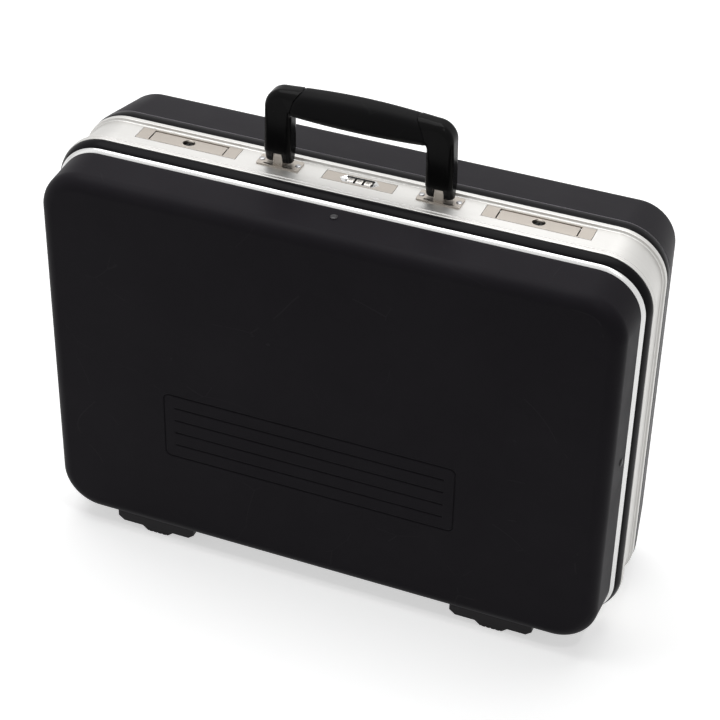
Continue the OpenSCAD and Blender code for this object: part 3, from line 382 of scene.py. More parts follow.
def ring_mesh(d, profile, closed=True, first_cap=True):
    """Sweeps a profile of (offset, y) around the frame's outline; an open one is filled at its ends."""
    path, whole = frame_path(d)
    count, rows = len(path), len(profile)
    points, run = [], [0.0]
    for o, y in profile:
        points += [(x, y, z) for x, z in outline_at(d, o)]
    for i in range(1, rows + 1):
        run.append(run[-1] + (Vector(profile[i % rows]) - Vector(profile[i - 1])).length)
    faces = bands(rows, count, closed)
    along = [step[3] for step in path] + [whole]
    uvs = []
    for j in range(rows if closed else rows - 1):
        for u0, u1 in zip(along, along[1:]):
            uvs.append(((u0, run[j]), (u1, run[j]), (u1, run[j + 1]), (u0, run[j + 1])))
    if not closed:
        for j in (0, rows - 1) if first_cap else (rows - 1,):
            faces.append(tuple(j * count + i for i in range(count)))
            uvs.append(tuple((points[n][0], points[n][2]) for n in faces[-1]))
    return closed_up(blank_mesh(points, faces, uvs))


def arc(cx, cy, r, start, end, steps):
    """Points on an arc around (cx, cy), from one angle in degrees to another."""
    angles = [math.radians(start + (end - start) * i / steps) for i in range(steps + 1)]
    return [(cx + r * math.cos(a), cy + r * math.sin(a)) for a in angles]


def crown(o0, o1, rise, y0, y1):
    """Profile points of a bulging face from (o0, y0) to (o1, y1)."""
    made = []
    for i in range(BOW_STEPS + 1):
        u = i / BOW_STEPS
        made.append((o0 + (o1 - o0) * u + rise * math.sqrt(1 - (2 * u - 1) ** 2), y0 + (y1 - y0) * u))
    return made


def tub_side(rim_o, draft, r, y0, y1):
    """Profile of a shell from its rim to the edge of its flat face."""
    way = 1 if y1 > y0 else -1
    co, cy = rim_o - draft - r, y1 - way * r
    vo, vy = rim_o - co, (y0 - cy) * way
    start = math.degrees(math.atan2(vy, vo) + math.acos(r / math.hypot(vo, vy)))
    return [(rim_o, y0)] + [(o, cy + way * y) for o, y in arc(co, 0, r, start, 90, BOW_STEPS)]


def oblong(half_l, half_w, x=0, y=0):
    """Corners of a rectangle around (x, y)."""
    return [(x + u * half_l, y + v * half_w) for u, v in ((-1, -1), (1, -1), (1, 1), (-1, 1))]


def rounded_loop(w, h, r, steps=6):
    """Points of a rounded rectangle around the origin."""
    made = []
    for sx, sz, start in ((1, 1, 0), (-1, 1, 90), (-1, -1, 180), (1, -1, 270)):
        made += arc(sx * (w / 2 - r), sz * (h / 2 - r), r, start, start + 90, steps)
    return made


def turned(profile, place, axis="Z", steps=32):
    """A solid turned from (radius, height) points around an axis through place."""
    bm = bmesh.new()
    rings = []
    for r, h in profile:
        if r < 1e-6:
            rings.append([bm.verts.new((0, 0, h * MM))])
            continue
        angles = [2 * math.pi * i / steps for i in range(steps)]
        rings.append([bm.verts.new((r * MM * math.cos(a), r * MM * math.sin(a), h * MM)) for a in angles])
    for low, high in zip(rings, rings[1:]):
        for i in range(steps):
            k = (i + 1) % steps
            corners = [low[i % len(low)], low[k % len(low)], high[k % len(high)], high[i % len(high)]]
            corners = list(dict.fromkeys(corners))
            if len(corners) > 2:
                bm.faces.new(corners)
    for ring, way in ((rings[0], -1), (rings[-1], 1)):
        if len(ring) > 1:
            bm.faces.new(ring[::way])
    if axis == "X":
        bm.transform(Matrix.Rotation(math.pi / 2, 4, "Y"))
    return placed(bm, place)


def prism(outline, lo, hi, place, axis="Z", holes=()):
    """A solid between lo and hi on the X or Z axis, from a flat outline with holes."""
    bm = bmesh.new()
    caps = []
    for t in (lo, hi):
        edges, loops = [], []
        for loop in (outline, *holes):
            ring = [bm.verts.new(Vector((t, u, v) if axis == "X" else (u, v, t)) * MM) for u, v in loop]
            edges += [bm.edges.new((ring[i - 1], ring[i])) for i in range(len(ring))]
            loops.append(ring)
        caps.append(loops)
        if holes:
            bmesh.ops.triangle_fill(bm, use_beauty=True, edges=edges)
        else:
            bm.faces.new(loops[0])
    for low, high in zip(*caps):
        for i in range(len(low)):
            bm.faces.new((low[i - 1], low[i], high[i], high[i - 1]))
    return placed(bm, place)


def box(x0, x1, y0, y1, z0, z1, place):
    return prism([(x0, y0), (x1, y0), (x1, y1), (x0, y1)], z0, z1, place)


def loft(sections):
    """A skin over sections with the same number of points, closed at both ends."""
    count, last = len(sections[0]), len(sections) - 1
    faces = [tuple(range(count)), tuple(last * count + i for i in range(count))]
    faces += bands(len(sections), count)
    return closed_up(blank_mesh([p for section in sections for p in section], faces))


def joined(*meshes):
    """One mesh out of several."""
    bm = bmesh.new()
    for mesh in meshes:
        bm.from_mesh(mesh)
        bpy.data.meshes.remove(mesh)
    return mesh_of(bm)


def carved(mesh, *cutters):
    """The mesh with the cutters taken out of it."""
    things = [put("carving", data) for data in (mesh, *cutters)]
    for tool in things[1:]:
        cut = things[0].modifiers.new("cut", "BOOLEAN")
        cut.operation, cut.solver, cut.object = "DIFFERENCE", "EXACT", tool
    graph = bpy.context.evaluated_depsgraph_get()
    made = bpy.data.meshes.new_from_object(things[0].evaluated_get(graph))
    for thing in things:
        old = thing.data
        bpy.data.objects.remove(thing)
        bpy.data.meshes.remove(old)
    if not made.polygons:
        raise RuntimeError("the carving left nothing of the piece")
    return made


def section(outer, inner, depth, radius, y, steps):
    """A rounded section between an outer and an inner (x, z) point, with its depth along Y."""
    mid, reach = (outer + inner) / 2, (outer - inner) / 2
    long = max(reach.length, 0.01)
    loop = rounded_loop(2 * long, 2 * depth, min(radius, long * 0.96, depth * 0.96), steps)
    way = reach / long
    return [(mid.x + way.x * u, y + v, mid.y + way.y * u) for u, v in loop]


# ---- Finishes ----


def feed(tree, socket, value):
    """Joins a socket to another one, or sets its value."""
    if isinstance(value, bpy.types.NodeSocket):
        tree.links.new(value, socket)
    else:
        socket.default_value = value


def cleared(owner):
    """The empty node tree of a material or a world."""
    owner.use_nodes = True
    owner.node_tree.nodes.clear()
    return owner.node_tree


def add_node(tree, kind, **values):
    """A shader node; its keyword values are settings, or go to its inputs by name."""
    node = tree.nodes.new("ShaderNode" + kind)
    for key, value in values.items():
        if hasattr(node, key):
            setattr(node, key, value)
        else:
            feed(tree, node.inputs[key.replace("_", " ")], value)
    return node


def maths(tree, operation, a, b):
    node = add_node(tree, "Math", operation=operation)
    for socket, value in zip(node.inputs, (a, b)):
        feed(tree, socket, value)
    return node.outputs[0]


def times(tree, a, b):
    return maths(tree, "MULTIPLY", a, b)


def noise(tree, place, **values):
    return add_node(tree, "TexNoise", Vector=place, **values).outputs["Fac"]


def object_place(tree):
    return add_node(tree, "TexCoord").outputs["Object"]


class Finish:
    """A material on one Principled shader, with short ways to add and join nodes."""

    def __init__(self, name, **values):
        self.material = bpy.data.materials.new(name)
        self.tree = cleared(self.material)
        self.shader = self.add("BsdfPrincipled", **values)
        self.add("OutputMaterial", Surface=self.shader.outputs["BSDF"])

    def add(self, kind, **values):
        return add_node(self.tree, kind, **values)

    def group(self, tree, **values):
        return self.add("Group", node_tree=tree, **values).outputs

    def spread(self, value, low, high):
        """A value from 0 to 1 spread over low to high."""
        return self.add("MapRange", To_Min=low, To_Max=high, Value=value).outputs["Result"]

    def blend(self, factor, a, b):
        """A colour from a to b by a factor."""
        return blended(self.tree, factor, a, b)

    def done(self, colour, roughness, height, depth):
        """Joins colour, roughness and a bump, with its depth in millimetres, and gives the material."""
        bump = self.add("Bump", Strength=1.0, Distance=depth * MM, Height=height)
        bumped = bump.outputs["Normal"]
        for name, source in (("Base Color", colour), ("Roughness", roughness), ("Normal", bumped)):
            feed(self.tree, self.shader.inputs[name], source)
        return self.material


def blended(tree, factor, a, b):
    node = add_node(tree, "Mix", data_type="RGBA")
    for i, value in ((0, factor), (6, a), (7, b)):
        feed(tree, node.inputs[i], value)
    return node.outputs[2]


def new_group(name, inputs, outputs):
    """A node group with float inputs, or a vector where no value is given, and float outputs."""
    tree = bpy.data.node_groups.new(name, "ShaderNodeTree")
    for label, value in inputs.items():
        kind = "NodeSocketVector" if value is None else "NodeSocketFloat"
        socket = tree.interface.new_socket(label, in_out="INPUT", socket_type=kind)
        if value is not None:
            socket.default_value = value
    for label in outputs:
        tree.interface.new_socket(label, in_out="OUTPUT", socket_type="NodeSocketFloat")
    return tree, tree.nodes.new("NodeGroupInput").outputs, tree.nodes.new("NodeGroupOutput").inputs


def grain_group():
    """Moulded leather-like grain: pebbles of one size with finer noise between them."""
    tree, given, out = new_group("moulded grain", {"Scale": 900.0, "Noise": 0.35}, ("Height", "Cloud"))
    place = object_place(tree)
    pebbles = add_node(tree, "TexVoronoi", feature="SMOOTH_F1", Vector=place, Scale=given["Scale"])
    fine = noise(tree, place, Scale=times(tree, given["Scale"], 2.4), Detail=3.0)
    extra = times(tree, fine, given["Noise"])
    feed(tree, out["Height"], maths(tree, "SUBTRACT", extra, pebbles.outputs["Distance"]))
    feed(tree, out["Cloud"], noise(tree, place, Scale=9.0, Detail=5.0, Roughness=0.6))
    return tree


def brushed_group():
    """Fine lines and wide bands that run along the X of the given coordinates."""
    tree, given, out = new_group(
        "brushed lines", {"Vector": None, "Along": 0.02, "Across": 6.0}, ("Lines", "Bands")
    )
    parts = add_node(tree, "SeparateXYZ", Vector=given["Vector"]).outputs
    for name, share, detail in (("Lines", 1.0, 4.0), ("Bands", 0.12, 2.0)):
        across = times(tree, given["Across"], share)
        stretch = {"X": given["Along"], "Y": across, "Z": across}
        scaled = {axis: times(tree, parts[axis], by) for axis, by in stretch.items()}
        place = add_node(tree, "CombineXYZ", **scaled).outputs[0]
        feed(tree, out[name], noise(tree, place, Scale=1.0, Detail=detail, Roughness=0.65))
    return tree


def scuff_and_sheen_group():
    """Lighter edges: where the surface bends within the radius, broken up by noise; on the plastics partly
    scuffing and partly a painted highlight along the edges.
    """
    tree, given, out = new_group("worn edges", {"Radius": 0.0008, "Strength": 1.0}, ("Mask",))
    bent = add_node(tree, "Bevel", samples=4, Radius=given["Radius"])
    plain = add_node(tree, "NewGeometry")
    dot = add_node(tree, "VectorMath", operation="DOT_PRODUCT")
    for socket, node in zip(dot.inputs, (bent, plain)):
        feed(tree, socket, node.outputs["Normal"])
    breaks = noise(tree, object_place(tree), Scale=160.0, Detail=6.0, Roughness=0.7)
    edge = maths(tree, "SUBTRACT", 1.0, dot.outputs["Value"])
    broken = times(tree, times(tree, edge, 5.0), breaks)
    strong = times(tree, broken, given["Strength"])
    feed(tree, out["Mask"], maths(tree, "MINIMUM", strong, 1.0))
    return tree


def marks_group():
    """Handling marks: soft smudges and a few thin scratches."""
    tree, given, out = new_group("handling marks", {"Scale": 22.0}, ("Smudge", "Scratch"))
    place = object_place(tree)
    smudge = noise(tree, place, Scale=given["Scale"], Detail=6.0, Roughness=0.55, Distortion=0.6)
    bent = add_node(tree, "TexNoise", Vector=place, Scale=3.0, Detail=2.0)
    shifted = add_node(tree, "VectorMath", operation="MULTIPLY_ADD")
    for socket, value in zip(shifted.inputs, (bent.outputs["Color"], (0.35, 0.35, 0.35), place)):
        feed(tree, socket, value)
    lines = add_node(
        tree, "TexVoronoi", feature="DISTANCE_TO_EDGE", Vector=shifted.outputs[0],
        Scale=times(tree, given["Scale"], 0.5),
    )
    thin = add_node(
        tree, "MapRange", From_Max=0.006, To_Min=1.0, To_Max=0.0, Value=lines.outputs["Distance"]
    )
    part = maths(tree, "GREATER_THAN", smudge, 0.56)
    feed(tree, out["Smudge"], smudge)
    feed(tree, out["Scratch"], times(tree, thin.outputs["Result"], part))
    return tree


def lighter(value, share):
    return (*(c + (1 - c) * share for c in value), 1)


def darker(value, share):
    return (*(c * (1 - share) for c in value), 1)


def plastic(name, groups, value, rough, grain, depth, level, wear_and_sheen, scratch):
    """Moulded plastic: grain, cloudy gloss, lighter edges that are partly scuffing and partly painted
    highlight, and fine scratches.
    """
    finish = Finish(name, Specular_IOR_Level=level)
    tree = finish.tree
    grained = finish.group(groups["grain"], Scale=grain)
    edge_mask = finish.group(groups["wear_and_sheen"], Strength=wear_and_sheen)["Mask"]
    marks = finish.group(groups["marks"])
    tone = finish.blend(grained["Cloud"], darker(value, 0.25), lighter(value, 0.006))
    # Edges made lighter by the mask: partly scuffing, partly a painted highlight.
    wear_and_highlight = finish.blend(edge_mask, tone, lighter(value, 0.09))
    faint = times(tree, marks["Scratch"], 0.12 * scratch)
    gloss = finish.spread(marks["Smudge"], rough - 0.07, rough + 0.09)
    polished = maths(tree, "SUBTRACT", gloss, times(tree, edge_mask, 0.12))
    return finish.done(finish.blend(faint, wear_and_highlight, lighter(value, 0.12)), polished, grained["Height"], depth)


def metal(name, groups, value, rough, along, across, contrast, depth, mapped):
    """Brushed or drawn metal: lines along the piece, bands of gloss, smudges and bright scuffed edges."""
    finish = Finish(name, Metallic=1.0)
    tree = finish.tree
    if mapped:
        source = finish.add("UVMap", uv_map="run").outputs["UV"]
    else:
        scaled = finish.add("VectorMath", operation="SCALE", Vector=object_place(tree), Scale=1 / MM)
        source = scaled.outputs[0]
    lines = finish.group(groups["brushed"], Along=along, Across=across, Vector=source)
    smudge = finish.group(groups["marks"], Scale=30.0)["Smudge"]
    edge_mask = finish.group(groups["wear_and_sheen"], Strength=0.6, Radius=0.0004)["Mask"]
    tone = finish.blend(lines["Lines"], darker(value, contrast), lighter(value, contrast * 0.6))
    banded = finish.blend(finish.spread(lines["Bands"], 0.0, 0.5), tone, darker(value, contrast * 1.5))
    gloss = finish.spread(lines["Lines"], rough - 0.06, rough + 0.08)
    smudged = maths(tree, "ADD", gloss, times(tree, smudge, 0.1))
    return finish.done(finish.blend(edge_mask, banded, lighter(value, 0.3)), smudged, lines["Lines"], depth)


def make_finishes():
    """Every material of the case by name."""
    tones = bpy.context.scene.case_colours
    groups = {
        "grain": grain_group(), "brushed": brushed_group(), "wear_and_sheen": scuff_and_sheen_group(), "marks": marks_group()
    }
    made = {}
    # Colour, roughness, grain's scale and depth, specular level, edge scuffing with painted edge highlight,
    # and scratches
    for name, label, *values in (
        ("shell", "moulded shell", tones.shell, 0.43, 800.0, 0.045, 0.035, 0.3, 0.5),
        # The edging's stronger edge mask also paints a highlight line along its edges.
        ("edging", "black edging", tones.edging, 0.3, 1500.0, 0.012, 0.05, 0.6, 0.8),
        # The rim ring's pale colour is a painted highlight.
        ("wear_and_highlight", "rubbed rim", tones.wear_and_highlight, 0.4, 1500.0, 0.01, 0.1, 0.2, 0.5),
        ("handle", "satin handle", tones.handle, 0.18, 1300.0, 0.01, 0.06, 0.2, 0.6),
        ("grip", "soft grip", tones.grip, 0.45, 1900.0, 0.03, 0.05, 0.15, 0.3),
        ("foot", "foot plastic", tones.foot, 0.42, 1100.0, 0.04, 0.14, 0.4, 0.5),
        ("seal", "seal rubber", (0.008, 0.008, 0.008), 0.6, 2000.0, 0.02, 0.15, 0.1, 0.5),
        ("key", "key barrel", (0.006, 0.0055, 0.0055), 0.28, 2500.0, 0.004, 0.25, 0.3, 0.5),
        ("digit", "digit ink", (0.01, 0.01, 0.01), 0.4, 3000.0, 0.003, 0.4, 0.0, 0.5),
    ):
        made[name] = plastic(label, groups, *values)
    # Colour, roughness, scale of the lines along and across, contrast, depth, and if they run with the frame
    for name, label, *values in (
        ("bead", "bright bead", tones.bead, 0.2, 0.01, 3.0, 0.06, 0.003, True),
        ("channel", "channel aluminium", tones.channel, 0.4, 0.012, 5.0, 0.1, 0.004, True),
        ("lock", "lock metal", tones.lock, 0.38, 0.06, 9.0, 0.12, 0.003, False),
        ("steel", "plated steel", tones.steel, 0.33, 0.3, 4.0, 0.12, 0.004, False),
        ("rivet", "blackened rivets", (0.035, 0.034, 0.036), 0.4, 0.3, 4.0, 0.1, 0.004, False),
        ("dial", "dial metal", (0.52, 0.50, 0.47), 0.27, 0.5, 8.0, 0.1, 0.003, False),
    ):
        made[name] = metal(label, groups, *values)
    return made


FINISHES = {}


def finish_of(name):
    """The material of that name, from a set that is made at the first call."""
    if not FINISHES:
        FINISHES.update(make_finishes())
    return FINISHES[name]


# ---- Shells ----

PANEL_CORNER = 6  # radius of the panel's corners
GROOVES = 4  # grooves across the panel


def panel_face(d, outer):
    """The lid's flat face, with the panel's border and straight grooves pressed into it."""
    bm = bmesh.new()

    def ring(points, depth=0.0, x=0.0, z=0.0):
        return [bm.verts.new(Vector((px + x, d.face_y + depth, pz + z)) * MM) for px, pz in points]

    def edges_of(loop):
        pairs = [(loop[i - 1], loop[i]) for i in range(len(loop))]
        return [bm.edges.get(pair) or bm.edges.new(pair) for pair in pairs]

    def groove(make, reach, steps, z, turns):
        """The first and last ring of a groove; with two half turns it comes back to the surface."""
        loops = []
        for i in range(steps + 1):
            u = i / steps
            depth = d.groove_d * (1 - math.cos(turns * math.pi * u)) / 2
            loops.append(ring(make(reach * u), depth, d.panel_x, z))
        for a, b in zip(loops, loops[1:]):
            for i in range(len(a)):
                bm.faces.new((a[i - 1], a[i], b[i], b[i - 1]))
        return loops[0], loops[-1]

    def border(t):
        return rounded_loop(d.panel_w - 2 * t, d.panel_h - 2 * t, PANEL_CORNER - t)

    def slot(t):
        return rounded_loop(long - 2 * t, max(d.groove_w - 2 * t, 0), max(half - t, 0))

    long, half = d.panel_w - 8 * d.groove_w, d.groove_w / 2
    z = d.stand + d.panel_z
    face = ring(outer)
    outside, inside = groove(border, d.groove_w, BOW_STEPS, z, 2)
    bmesh.ops.triangle_fill(bm, use_beauty=True, edges=edges_of(face) + edges_of(outside))
    pitch = (d.panel_h - d.groove_w) / (GROOVES + 1)
    slots = []
    for i in range(1, GROOVES + 1):
        slots += edges_of(groove(slot, half, BOW_STEPS // 2, z + i * pitch - d.panel_h / 2 + half, 1)[0])
    bmesh.ops.triangle_fill(bm, use_beauty=True, edges=edges_of(inside) + slots)
    return mesh_of(bm)


def shell_rings(d, rim_o, draft, fillet, rim_y, back_y, between):
    """A shell's open profile from the edge of its flat face, over the rim, to the flat inside."""
    way = 1 if back_y > rim_y else -1
    outside = tub_side(rim_o, draft, fillet, rim_y, back_y)
    inside = tub_side(rim_o - d.wall, draft, fillet - d.wall, rim_y + way * 0.01, back_y - way * d.wall)
    profile = outside[::-1] + between + inside[1:]
    radii = [0.0] * len(profile)
    radii[len(outside) - 1] = 0.6
    return softened(profile, radii)


class MakeShells(bpy.types.Operator):
    """Builds the lid's and the base's moulded shells."""

    bl_idname = "tool_case.make_shells"
    bl_label = "Shells"

    def execute(self, context):
        d = layout()
        rim, lap_y, seat_y = -d.base_inset, d.chan_y1 + 0.3, d.rim_y + 2.5
        collar = [(rim - 4, d.rim_y), (rim - 4, lap_y), (rim - 7, lap_y), (rim - 7, seat_y)]
        collar.append((rim - d.wall - 0.45, seat_y))
        profile = shell_rings(d, rim, d.base_draft, d.base_fillet, d.rim_y, d.back_y, collar)
        skin = ring_mesh(d, profile, closed=False)
        add_piece("base_shell_skin", skin, "shell", "base", "shell", "base_shell", sharp=45)
        rim = -d.lid_inset
        lip = [(rim - d.wall, d.bead_y0)]
        profile = shell_rings(d, rim, d.lid_draft, d.lid_fillet, d.bead_y0, d.face_y, lip)
        skin = ring_mesh(d, profile, closed=False, first_cap=False)
        skin = closed_up(joined(skin, panel_face(d, outline_at(d, profile[0][0]))))
        add_piece("lid_shell_skin", skin, "shell", "lid", "shell", "lid_shell", sharp=45)
        return {"FINISHED"}


# ---- Frames ----


def channel_cutters(d):
    """The holes that the latches, the combination lock and the brackets' slots lie in."""
    cutters = []
    latch, combo = (d.latch_l, d.latch_w), (d.combo_l, d.combo_w)
    for x, (long, wide) in ((-d.latch_x, latch), (0, combo), (d.latch_x, latch)):
        plate = oblong(long / 2 + PLAY, wide / 2 + PLAY, x)
        cutters.append(prism(plate, d.floor_z - 3.5, d.floor_z + 1, lock_place(d)))
    x, y, half_l, half_w = PLATE_SLOT
    for s in BOTH:
        for k in BOTH:
            cutters.append(prism(oblong(half_l, half_w, k * x, y), -6, 0, lock_place(d, s * d.leg_x)))
    return cutters


def eye_cutter(d):
    """The way in for the eye of the lid's middle keeper."""
    return box(16.35, 19.55, -d.channel, -9.6, -12.1, -4.9, lock_place(d))


class MakeFrames(bpy.types.Operator):
    """Builds the bright bead, the two black edgings, the aluminium channel and the seal."""

    bl_idname = "tool_case.make_frames"
    bl_label = "Frames"

    def execute(self, context):
        d = layout()
        step_y = d.bead_y0 - 15
        bead = crown(-4.9, -2.4, 1.0, d.bead_y0, d.bead_y1)
        bead += [(STRIP, d.bead_y1), (STRIP, -42.35), (-11.8, -42.35), (-11.8, -43.55), (STRIP, -43.55)]
        bead += [(STRIP, step_y), (-8.1, step_y), (-8.1, d.bead_y0)]
        add_piece("lid_bead", ring_mesh(d, bead), "bead", "lid", "bright_aluminium", "lid_frame")
        split_y = d.part_y + SPLIT
        front = crown(-2.6, 0.6, 1.4, split_y, d.chan_y0) + [(STRIP, d.chan_y0), (STRIP, split_y)]
        mesh = carved(ring_mesh(d, front), eye_cutter(d))
        add_piece("front_edging", mesh, "edging", "base", "edging", "base_front_edging")
        rear = crown(-0.8, -1.6, 1.2, d.chan_y1, d.rim_y) + [(-4.4, d.rim_y), (-4.4, d.chan_y1)]
        add_piece("rear_edging", ring_mesh(d, rear), "edging", "base", "edging", "base_rear_edging")
        # A pale ring at the rear shell's rim: a painted highlight standing in for the light on the crease
        # between rear edging and shell.
        rim_y = d.rim_y - 0.5
        rim = softened([(-0.75, d.rim_y), (-0.75, rim_y), (-2.2, rim_y), (-2.2, d.rim_y)], [0.2, 0.2, 0, 0])
        add_piece("painted_rim_highlight", ring_mesh(d, rim), "wear_and_highlight", "base", "shell")
        self.make_channel(d)
        seal = softened([(-9.45, -42.3), (-9.45, -40.05), (-11.1, -40.05), (-11.1, -42.3)], [0.7] * 4)
        add_piece("lid_seal_strip", ring_mesh(d, seal), "seal", "lid", "seal", "lid_seal")
        return {"FINISHED"}

    def make_channel(self, d):
        """Sweeps the channel's section; each corner has its offset, depth and rounding."""
        floor, under = d.floor_z, d.floor_z - 2
        y0, y1, lip, foot = d.chan_y0, d.chan_y1, d.lip_y0, d.part_y - 4
        corners = [
            (1.6, y0, 0.5), (1.6, y0 + 3.1, 0.2), (1.1, y0 + 3.4, 0.2), (1.1, y0 + 3.9, 0.2),
            (1.6, y0 + 4.2, 0.2), (1.6, d.ledge_y0, 0.6), (-1, d.ledge_y0, 0.4), (-1, d.ledge_y1, 0.5),
            (floor, d.ledge_y1, 0.6), (floor, lip, 2.0), (0, lip, 0.5), (0, y1, 0.5),
            (-8, y1, 0), (-8, y1 + 4, 0.3), (-9.5, y1 + 4, 0.3), (-9.5, lip, 0.3),
            (under, lip, 0), (under, y0 + 4, 0), (TONGUE, y0 + 4, 0.3),
            (TONGUE, foot, 0.4), (-9.6, foot, 0.4), (-9.6, y0, 0),
        ]
        profile = softened([c[:2] for c in corners], [c[2] for c in corners])
        mesh = carved(ring_mesh(d, profile), *channel_cutters(d), eye_cutter(d))
        add_piece("channel", mesh, "channel", "base", "channel_aluminium", "base_frame")


# ---- Handle ----

SEAM_BEND = 2.6  # power by which the seam between grip and arm bends
LEG_FULL = 6.5  # height above its pivot at which a leg has its full depth
ARM_BOW = 84.2  # degrees of the arm's round corner
LEG_TOP = 28  # height at which a leg's lower sections begin
# Heights of the leg's sections; None stands for the pivot
LEG_STATIONS = (24, 20, 16, 13.5, 12, 10.5, 9, 7.2, None, 4.2, 3.2, 2.4, 1.8, 1.4, 1.1, 0.9)


def crown_z(d, x):
    """Height of the handle's crowned top above the rear lip, at a distance from its middle."""
    return d.grip_top - d.crown_r + math.sqrt(d.crown_r**2 - x**2)


def seam_x(d, z):
    """Distance from the handle's middle of the seam between grip and arm, at a height."""
    rise = min(1.0, max(0.0, (z - d.grip_low) / d.grip_t))
    return d.leg_in - (d.leg_in - d.grip_l / 2) * rise**SEAM_BEND


def leg_depth(d, z):
    """Half depth of a leg at a height above the rear lip."""
    if z < d.pivot_h:
        return math.sqrt(max(0.7, (d.leg_t / 2) ** 2 - (z - d.pivot_h) ** 2))
    return min(d.leg_d / 2, d.leg_t / 2 + (d.leg_d - d.leg_t) / 2 * (z - d.pivot_h) / LEG_FULL)


def arm_pairs(d):
    """Outer and inner (x, z) points of the arm's sections, with their rounding and how far they bend."""
    in_x, start_x = d.leg_in, d.grip_l / 2
    out_x = d.leg_out - 0.9
    corner_x = out_x - d.handle_r
    corner_z = crown_z(d, corner_x) - d.handle_r
    corner = arc(corner_x, corner_z, d.handle_r, ARM_BOW, 0, BOW_STEPS)
    pairs = []
    for u in (0.0, 0.02, 0.06, 0.15, 0.28, 0.42, 0.56, 0.7, 0.85):
        x = start_x + (corner[0][0] - start_x) * u
        pairs.append(((x, crown_z(d, x)), (in_x, d.grip_low - u), 7.6 - 1.8 * u, 1 - u))
    for i, outer in enumerate(corner):
        u = i / BOW_STEPS
        pairs.append((outer, (in_x, d.grip_low - 1 - 8 * u), 5.8 - 1.2 * u, 0))
    z_in = d.grip_low - 9
    for i in range(1, 6):
        u = i / 5
        outer = (out_x + 0.5 * u, corner_z + (LEG_TOP - corner_z) * u)
        pairs.append((outer, (in_x, z_in + (LEG_TOP - z_in) * u), 4.6, 0))
    for z in LEG_STATIONS:
        z = d.pivot_h if z is None else z
        pairs.append(((d.leg_out - 0.4 * z / LEG_TOP, z), (in_x, z), 4.2, 0))
    return pairs


def arm_sections(d, s):
    """Sections of one handle arm, from the grip's seam round the corner and down the leg."""
    pairs = arm_pairs(d)
    last = len(pairs) - 1
    insets = {0: 0.8, 1: 0.25, last - 2: 0.3, last - 1: 0.8, last: 1.6}
    sections = []
    for k, (outer, inner, radius, bend) in enumerate(pairs):
        depth = leg_depth(d, (outer[1] + inner[1]) / 2) + 0.9 * bend
        inset = insets.get(k, 0.0)
        outer, inner = Vector(outer), Vector(inner)
        pull = (inner - outer).normalized() * inset
        loop = section(outer + pull, inner - pull, max(depth - inset, 0.5), radius, d.chan_y, 7)
        made = []
        for x, y, z in loop:
            across = min(1.0, max(0.0, (d.grip_top - z) / d.grip_t))
            x += bend * (seam_x(d, z) - d.grip_l / 2 - (d.leg_in - d.grip_l / 2) * across)
            made.append((s * x, y, d.top + z))
        sections.append(made)
    return sections


def grip_sections(d):
    """Sections of the grip between its two bent seams, fuller in the middle."""
    stations = [(-1.0, 1.0), (-0.992, 0.45), (-0.975, 0.12), (-0.95, 0.0)]
    stations += [(-0.9 + 0.1 * i, 0.0) for i in range(19)]
    stations += [(-u, inset) for u, inset in stations[3::-1]]
    sections = []
    for u, inset in stations:
        high = Vector((0, crown_z(d, d.grip_l / 2 * u) - inset))
        under = Vector((0, d.grip_low - d.belly * (1 - u * u) + inset))
        loop = section(high, under, d.grip_d / 2 - 0.9 * u * u - inset, 8.6, d.chan_y, 9)
        sections.append([((seam_x(d, z) - 0.35) * u, y, d.top + z) for _, y, z in loop])
    return sections


class MakeHandle(bpy.types.Operator):
    """Builds the handle's arms and grip, and the brackets that carry it."""

    bl_idname = "tool_case.make_handle"
    bl_label = "Handle"

    def execute(self, context):
        d = layout()
        for s, side in SIDES:
            x, half = s * d.leg_x, d.lug_w / 2 + 0.3
            notch = box(x - half, x + half, -20, 20, -20, d.pivot_h + d.lug_r + 0.6, lock_place(d))
            mesh = carved(loft(arm_sections(d, s)), notch)
            add_piece(f"handle_arm_{side}_skin", mesh, "handle", "handle", "handle_arm",
                      f"handle_arm_{side}", bevel=0.35, sharp=42)
            self.make_bracket(d, side, lock_place(d, x))
        add_piece("handle_grip_skin", loft(grip_sections(d)), "grip", "handle", "handle_grip",
                  "handle_grip", sharp=50)
        finish_nodes("handle_pin_left", "handle_pin_right", "handle_core")
        return {"FINISHED"}

    def make_bracket(self, d, side, place):
        floor, top, r = d.floor_z, d.floor_z + PLATE_H, d.lug_r
        x, y, half_l, half_w = PLATE_SLOT
        slots = [oblong(half_l, half_w, k * x, y) for k in BOTH]
        plate = prism(rounded_loop(35, 14, 1.2, 4), floor, top, place, holes=slots)
        arch = [(-r - 0.8, top - 0.1), (r + 0.8, top - 0.1), *arc(0, d.pivot_h, r, 0, 180, 16)]
        lug = prism(arch, -d.lug_w / 2, d.lug_w / 2, place, "X")
        add_piece(f"bracket_{side}", joined(plate, lug), "lock", "base", "lock_metal",
                  f"handle_bracket_{side}", bevel=0.3)


# ---- Latches ----

WELL_LOW = -16.1  # lower end of a well's walls
CLAW_LOW = -12.7  # lower end of a lever's claws


def eye_outline(d):
    """The eye-shaped key opening: two arcs that meet in points."""
    r = (d.eye_l**2 / d.eye_w + d.eye_w) / 2
    reach = math.asin(d.eye_l / r)
    made = []
    for s in (1, -1):
        for i in range(BOW_STEPS):
            a = reach - 2 * reach * i / BOW_STEPS
            made.append((s * r * math.sin(a), s * (r * math.cos(a) - r + d.eye_w)))
    return made


